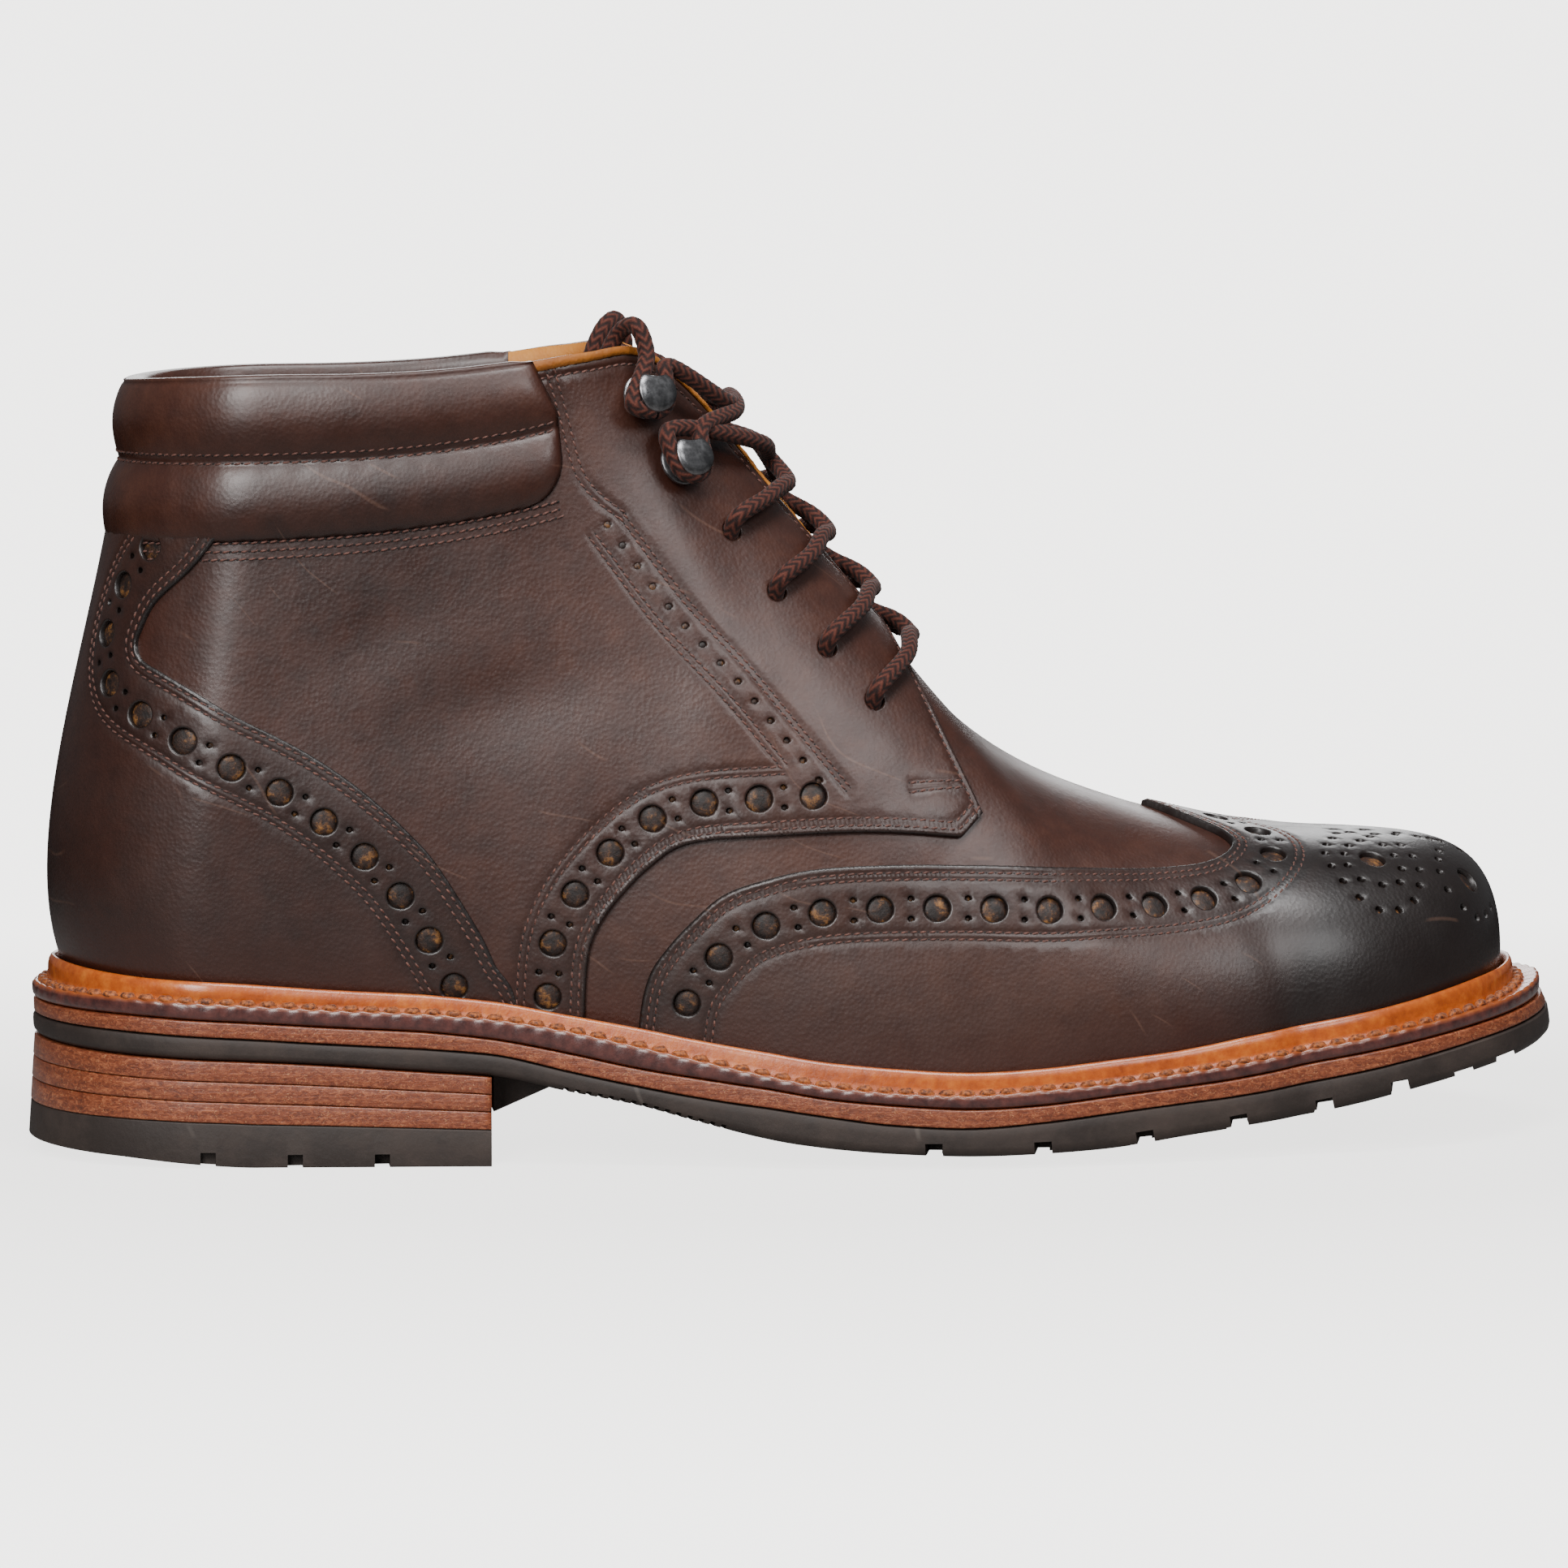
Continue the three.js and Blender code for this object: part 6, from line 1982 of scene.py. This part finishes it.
def make_welt():
    """Storm welt: a round ridge against the upper, a stitched gutter, and a soft edge that bulges."""
    places = even_places(0, LAST_PLACE, WELT_PITCH / WELT_STEPS)
    skirt = OVERLAY_WALL + 2 * CLEARANCE
    loops = []
    stitches = []
    for side in (LATERAL, MEDIAL):
        inner = skirt + CLEARANCE + lean_at_ridge(places, side)
        edge = edge_reach(places)
        gutter = np.minimum(inner + WELT_RIDGE_WIDTH + 1.15, edge - 1.3)
        flat = outline(places, side, gutter)
        along = lengths_along(flat)
        total = round(along[-1] / WELT_PITCH) * WELT_PITCH
        phase = along / along[-1] * total / WELT_PITCH
        bulge = 0.5 + 0.5 * np.cos(2 * math.pi * phase)
        welt = shelf("welt")
        mid = shelf("mid", CLEARANCE)
        feather = shelf("feather")
        rows = welt_edge(edge, gutter, bulge, mid, welt)
        crest = inner + WELT_RIDGE_WIDTH * 0.5
        half = WELT_RIDGE_WIDTH * 0.5
        crest_x = outline(places, side, crest)[:, 0]
        rise = shelf("ridge")(crest_x) - welt(crest_x)
        column = []
        for reach, level, lift, tone in rows:
            flat = outline(places, side, reach)
            column.append((flat, level(flat[:, 0]) + lift, tone))
        for angle in np.radians(RIDGE_ANGLES):
            flat = outline(places, side, crest + half * math.cos(angle) * 1.08)
            lift = rise * (0.45 + 0.55 * math.sin(angle)) if angle > 0 else rise * 0.28
            column.append((flat, welt(flat[:, 0]) + lift, 0.0))
        against = np.full_like(inner, skirt)
        under = np.full_like(inner, -WELT_INSIDE)
        for reach, level, lift in ((inner - 0.1, welt, -0.6), (against, feather, -1.3),
                                   (under, feather, -1.3), (under, mid, 0.0)):
            flat = outline(places, side, reach)
            column.append((flat, level(flat[:, 0]) + lift, 0.0))
        grid = np.stack([np.concatenate([flat, height[:, None]], -1) for flat, height, _ in column], 1)
        tone = np.tile([tone for *_, tone in column], (len(places), 1))
        order = slice(None) if side == LATERAL else slice(-2, 0, -1)
        loops.append((grid[order], tone[order]))
        stitches.append((side, total, phase, gutter))
    grid = np.concatenate([g for g, _ in loops])
    tone = np.concatenate([t for _, t in loops])
    faces = grid_faces(*grid.shape[:2], wrap_rows=True, wrap_columns=True)
    new_piece("storm_welt", grid.reshape(-1, 3), faces, MATERIALS["storm"], ("welt",),
              {"edge": tone.ravel()})
    welt_stitches(places, stitches)


def twisted_stitch(length, radius, rings=13, sides=14):
    """A thick strand of two twisted plies, sunk at both ends."""
    share = np.linspace(-1, 1, rings)
    thick = radius * np.maximum(1 - np.abs(share) ** 3.2, 0.0) ** 0.5
    thick[0] = thick[-1] = radius * 0.3
    turn = corners_round(sides)
    rows = []
    for s, r in zip(share, thick):
        ply = r * (1 + 0.13 * np.cos(2 * turn - s * 4.2))
        rows.append(np.stack([np.full(sides, s * length / 2), ply * np.cos(turn) * 1.08,
                              ply * np.sin(turn) * 0.86 - radius * 0.8 * abs(s) ** 3], -1))
    return np.vstack(rows), tube_faces(rings, sides)


def welt_stitches(places, sides):
    centres = []
    along = []
    for side, total, phase, gutter in sides:
        count = int(round(total / WELT_PITCH))
        marks = np.arange(count) + 0.5
        spots = np.interp(marks, phase, places)
        reach = np.interp(marks, phase, gutter)
        flat = outline(spots, side, reach)
        ahead = outline(np.clip(spots + 0.03, 0, LAST_PLACE), side, reach)
        behind = outline(np.clip(spots - 0.03, 0, LAST_PLACE), side, reach)
        height = profile_at(flat[:, 0])["welt"] + 0.32
        slope = profile_at(ahead[:, 0])["welt"] - profile_at(behind[:, 0])["welt"]
        centres.append(np.concatenate([flat, height[:, None]], -1))
        along.append(unit(np.concatenate([ahead - behind, slope[:, None]], -1)))
    centres = np.concatenate(centres)
    along = np.concatenate(along)
    up = np.tile([0.0, 0.0, 1.0], (len(centres), 1))
    points, faces = copies(twisted_stitch(*WELT_STITCH), centres, along, up, 0.1)
    new_piece("welt_stitches", points, faces, MATERIALS["welt_thread"])


def make_midsole():
    rows = edge_rows(shelf("rubber", CLEARANCE), shelf("mid"), lambda p: edge_reach(p, -0.15, MIDSOLE_FLARE),
                     lambda p: edge_reach(p, -0.1, MIDSOLE_TOP_FLARE), 0.4)
    points, faces = slab(rows)
    new_piece("midsole_leather", points, faces, MATERIALS["sole"], ("midsole",))


def make_insole():
    def reach(place):
        return np.full_like(place, -WELT_INSIDE - CLEARANCE)
    top = CLEARANCE + INSOLE_THICKNESS
    rows = edge_rows(shelf("mid", CLEARANCE), shelf("mid", top), reach, reach, 0.5)
    points, faces = slab(rows, spacing=3)
    new_piece("insole_leather", points, faces, MATERIALS["lining"], ("insole",))


BOX_FACES = [(0, 1, 3, 2), (4, 6, 7, 5), (0, 4, 5, 1), (2, 3, 7, 6), (0, 2, 6, 4), (1, 5, 7, 3)]


def box_points(width, depth, height, x, y, z, turn=0.0, pitch=0.0):
    """A box hanging from a place, pitched along the sole and then turned in plan."""
    corners = np.array([(i, j, k) for i in (-0.5, 0.5) for j in (-0.5, 0.5) for k in (-1, 0)], float)
    corners = corners * np.array([width, depth, height])
    c, s = math.cos(pitch), math.sin(pitch)
    along, across, rise = corners.T
    along, rise = along * c + rise * s, rise * c - along * s
    c, s = math.cos(turn), math.sin(turn)
    return np.stack([along * c - across * s, along * s + across * c, rise], -1) + np.array([x, y, z])


def cut(piece, boxes, operation="DIFFERENCE"):
    """Cut boxes out of a piece, or join them to it."""
    faces = [[k + 8 * i for k in face] for i in range(len(boxes)) for face in BOX_FACES]
    mesh = bpy.data.meshes.new("cutter")
    mesh.from_pydata(metres(np.vstack(boxes)).tolist(), [], faces)
    tool = bpy.data.objects.new("cutter", mesh)
    bpy.context.scene.collection.objects.link(tool)
    modifier = piece.modifiers.new("cut", "BOOLEAN")
    modifier.operation = operation
    modifier.solver = "EXACT"
    modifier.use_self = True
    modifier.object = tool
    depsgraph = bpy.context.evaluated_depsgraph_get()
    result = bpy.data.meshes.new_from_object(piece.evaluated_get(depsgraph))
    piece.modifiers.remove(modifier)
    old = piece.data
    piece.data = result
    result.name = piece.name
    bpy.data.meshes.remove(old)
    bpy.data.objects.remove(tool)
    bpy.data.meshes.remove(mesh)
    smooth_shade(piece.data)
    piece.data.set_sharp_from_angle(angle=math.radians(32))


GROOVE_SLANT = 0.22
MIDDLE_GROOVE_LEAD = 8
CUTTER_HEIGHT = 14
HEEL_NOTCH_WIDTH = 3
HEEL_NOTCH_LENGTH = 18
HEEL_NOTCHES = 4
BREAST_RIB_LENGTH = 12.5
BREAST_RIB_DEPTH = 9
BREAST_RIB_HALF_WIDTH = 25


def tread_boxes():
    boxes = []
    for i in range(LUG_COUNT):
        share = 1 - (1 - i / (LUG_COUNT - 1)) ** 1.3
        x = TREAD_START + (TREAD_END - TREAD_START) * share
        slope = math.atan2(profile_at(x + 5)["tread"] - profile_at(x - 5)["tread"], 10)
        top = float(tread_at(x)) + TREAD_DEPTH
        toe = (x - TREAD_START) / (LAST_LENGTH * 1.08 - TREAD_START)
        half = HALF_BALL * math.sqrt(1 - toe ** 4)
        for side in (LATERAL, MEDIAL):
            y = side * half + float(toe_swing(np.array(x)))
            boxes.append(box_points(GROOVE_WIDTH, half * 0.9, CUTTER_HEIGHT, x, y, top,
                                    side * GROOVE_SLANT, -slope))
            rim = outline(np.array([place_at(x)]), side, np.array([4.0]))[0, 1]
            edge_top = float(profile_at(x)["under"]) + TREAD_DEPTH
            boxes.append(box_points(GROOVE_WIDTH * 0.9, 13, CUTTER_HEIGHT, x + 0.4, rim, edge_top,
                                    side * GROOVE_SLANT, -slope))
        if i < LUG_COUNT - 1:
            y = float(toe_swing(np.array(x)))
            boxes.append(box_points(GROOVE_WIDTH * 0.8, half * 0.6, CUTTER_HEIGHT, x + MIDDLE_GROOVE_LEAD, y,
                                    top - 0.6, 0, -slope))
    return boxes


def fine_teeth(x_from, x_to):
    """Small serrations along the sole's lower edge, on both sides."""
    bottom = shelf("under")
    boxes = []
    for x in np.arange(x_from, x_to, TEETH_PITCH):
        slope = math.atan2(bottom(x + 4) - bottom(x - 4), 8)
        for side in (LATERAL, MEDIAL):
            y = outline(np.array([place_at(x)]), side, np.array([5.0]))[0, 1]
            boxes.append(box_points(TEETH_PITCH * 0.45, 9, CUTTER_HEIGHT, x, y,
                                    float(bottom(x)) + TEETH_DEPTH, 0, -slope))
    return boxes


PLACE_AT = np.linspace(0, LAST_PLACE, 1500)
PLACE_X = np.maximum.accumulate(foot_outline(PLACE_AT, LATERAL)[:, 0])


def place_at(x):
    return float(np.interp(x, PLACE_X, PLACE_AT))


RUBBER_EDGE = [(-1.3, 2, 0, 0), (-0.7, 2.1, 0.06, 0), (-0.15, 2.4, 0.2, 0), (0, 2.4, 0.35, 0),
               (0.05, 2.1, 0.7, 0), (0, 1.9, 1, 0.35), (-0.15, 1.8, 1, 0.1), (-0.5, 1.8, 1, 0)]
CROWN_SHARES = (-0.42, -0.2, 0.0, 0.2, 0.42)
TEETH_PITCH = 2.2
TEETH_DEPTH = 0.9
TEETH_RUNS = [(HEEL_LENGTH + 14, HEEL_LENGTH + 46), (TREAD_END + 2, TREAD_END + 12)]


def make_outsole():
    rows = [(lambda p, shift=shift, flare=flare: edge_reach(p, shift, flare),
             lambda x, share=share, drop=drop: between("under", "rubber", share)(x) - drop)
            for shift, flare, share, drop in RUBBER_EDGE]
    points, faces = slab(rows, [(share, tread_at) for share in CROWN_SHARES])
    piece = new_piece("outsole_rubber", points, faces, MATERIALS["rubber"], ("outsole",))
    cut(piece, [breast_rib()], "UNION")
    cut(piece, tread_boxes() + [tooth for run in TEETH_RUNS for tooth in fine_teeth(*run)])


def breast_rib():
    """The rib of rubber under the waist that butts on the front of the heel."""
    back = HEEL_LENGTH + 2 * CLEARANCE
    front = back + BREAST_RIB_LENGTH
    top = float(shelf("under", 1)(front))
    low = float(shelf("under", -BREAST_RIB_DEPTH)(back))
    tread = float(tread_at(front)) + 0.4
    corners = []
    for x, bottom in ((back, low), (front, tread)):
        for y in (-BREAST_RIB_HALF_WIDTH, BREAST_RIB_HALF_WIDTH):
            corners += [(x, y, bottom), (x, y, top)]
    return np.array(corners)


def heel_reach(share):
    def reach(place):
        end = np.sin(np.radians(section_at(place)["turn"])) ** 2
        return edge_reach(place, -0.2) + HEEL_BACK_FLARE * share * end
    return reach


def heel_slab(top_share, top, bottom_share, bottom):
    rows = edge_rows(bottom, top, heel_reach(bottom_share), heel_reach(top_share), 0.32, 3)
    return slab(rows, spacing=1.5, last=place_at(HEEL_LENGTH))


def make_heel():
    def level(count, gap):
        def height(x):
            high = profile_at(x)["under"] - CLEARANCE
            return high + (heel_at(x)["lift"] - high) * count / HEEL_LIFTS + gap
        return height
    for number in range(HEEL_LIFTS):
        lower = number + 1
        gap = CLEARANCE * 0.4 if lower < HEEL_LIFTS else 0
        points, faces = heel_slab(LIFTS_SHARE * number / HEEL_LIFTS, level(number, 0),
                                  LIFTS_SHARE * lower / HEEL_LIFTS, level(lower, gap))
        new_piece(f"heel_layer_{lower}", points, faces, MATERIALS["stack"],
                  (f"heel_lift_{lower}",))
    points, faces = heel_slab(LIFTS_SHARE, lambda x: heel_at(x)["lift"] - 0.1, 1.0, ground_at)
    piece = new_piece("heel_rubber", points, faces, MATERIALS["rubber"], ("heel_top_lift",))
    boxes = []
    for i in range(HEEL_NOTCHES):
        x = HEEL_NOTCH_START + HEEL_NOTCH_STEP * i
        for side in (LATERAL, MEDIAL):
            boxes.append(box_points(HEEL_NOTCH_WIDTH, HEEL_NOTCH_LENGTH, 3 * TREAD_DEPTH, x,
                                    side * HALF_BALL * 0.86, float(ground_at(x)) + TREAD_DEPTH))
    cut(piece, boxes)


# Light and floor

BOOT_MIDDLE = (0.09, 0, 0.08)


def area_light(name, place, size, power, colour=(1, 1, 1)):
    """A lamp turned towards the middle of the boot: places and sizes in metres, power in watts."""
    data = bpy.data.lights.new(name, "AREA")
    data.shape = "RECTANGLE"
    data.size, data.size_y = size
    data.energy = power
    data.color = colour
    light = bpy.data.objects.new(name, data)
    light.location = place
    light.rotation_mode = "QUATERNION"
    light.rotation_quaternion = (Vector(BOOT_MIDDLE) - Vector(place)).to_track_quat("-Z", "Y")
    bpy.context.scene.collection.objects.link(light)


def make_lights():
    area_light("key_left", (-0.42, -1.05, 0.78), (0.42, 0.42), 12.5, (1.0, 0.985, 0.97))
    area_light("key_right", (0.62, -1.0, 0.8), (0.4, 0.4), 4.6)
    area_light("top", (0.2, -0.4, 1.15), (0.6, 0.32), 12)
    area_light("low_left", (-0.36, -1.0, 0.3), (0.28, 0.28), 2.6)
    area_light("inner_side", (0.2, 1.25, 0.5), (0.8, 0.5), 6)


BACKGROUND = (0.815, 0.802, 0.785, 1)
BACKGROUND_GLOW = 4.85
ROOM_GLOW = 0.14
ROOM_COLOUR = (0.95, 0.97, 1.0, 1)


def eye_ray(tree):
    """One where the eye looks, and nought for the light that falls on the boot."""
    return tree.nodes.new("ShaderNodeLightPath").outputs["Is Camera Ray"]


def make_world():
    world = bpy.data.worlds.new("studio")
    world.use_nodes = True
    tree = world.node_tree
    tree.nodes.clear()
    output = tree.nodes.new("ShaderNodeOutputWorld")
    seen = tree.nodes.new("ShaderNodeBackground")
    lit = tree.nodes.new("ShaderNodeBackground")
    mix = tree.nodes.new("ShaderNodeMixShader")
    seen.inputs["Color"].default_value = BACKGROUND
    seen.inputs["Strength"].default_value = BACKGROUND_GLOW
    lit.inputs["Color"].default_value = ROOM_COLOUR
    lit.inputs["Strength"].default_value = ROOM_GLOW
    tree.links.new(eye_ray(tree), mix.inputs[0])
    tree.links.new(lit.outputs[0], mix.inputs[1])
    tree.links.new(seen.outputs[0], mix.inputs[2])
    tree.links.new(mix.outputs[0], output.inputs[0])
    bpy.context.scene.world = world


FLOOR_HALF = 6.0
FLOOR_NEAR = 0.62
FLOOR_FADE = (0.16, 0.55)
FLOOR_CENTRE = (-0.085, 0, 0)
FLOOR_STRETCH = (0.8, 1.5, 1)


def floor_material():
    """Pale paper that melts into the background away from the boot."""
    p = Paint("pale_floor")
    mapping = {"Vector": p.place, "Location": FLOOR_CENTRE, "Scale": FLOOR_STRETCH}
    offset = p.node("Mapping", mapping).outputs[0]
    reach = p.node("VectorMath", {0: offset}, operation="LENGTH").outputs["Value"]
    fade = p.range(reach, *FLOOR_FADE, FLOOR_NEAR, 1.0)
    level = p.math("MULTIPLY", eye_ray(p.tree), BACKGROUND_GLOW)
    glow = p.node("Emission", {"Color": BACKGROUND, "Strength": level}).outputs[0]
    mix = p.node("MixShader", {"Fac": fade})
    p.shader.inputs["Base Color"].default_value = (*rgb(225, 223, 221), 1)
    p.shader.inputs["Roughness"].default_value = 0.85
    p.tree.links.new(p.shader.outputs[0], mix.inputs[1])
    p.tree.links.new(glow, mix.inputs[2])
    output = p.tree.nodes["Material Output"]
    p.tree.links.new(mix.outputs[0], output.inputs["Surface"])
    return p.material


def make_floor():
    mesh = bpy.data.meshes.new("floor")
    corners = [(x * FLOOR_HALF, y * FLOOR_HALF, 0) for x, y in ((-1, -1), (1, -1), (1, 1), (-1, 1))]
    mesh.from_pydata(corners, [], [(0, 1, 2, 3)])
    mesh.materials.append(floor_material())
    floor = bpy.data.objects.new("floor", mesh)
    bpy.context.scene.collection.objects.link(floor)


make_camera()
make_laces()
make_shell()
make_lining()
make_panels()
make_collar()
make_tongue()
make_insole()
make_welt()
make_midsole()
make_outsole()
make_heel()
make_hooks()
make_lights()
make_world()
make_floor()
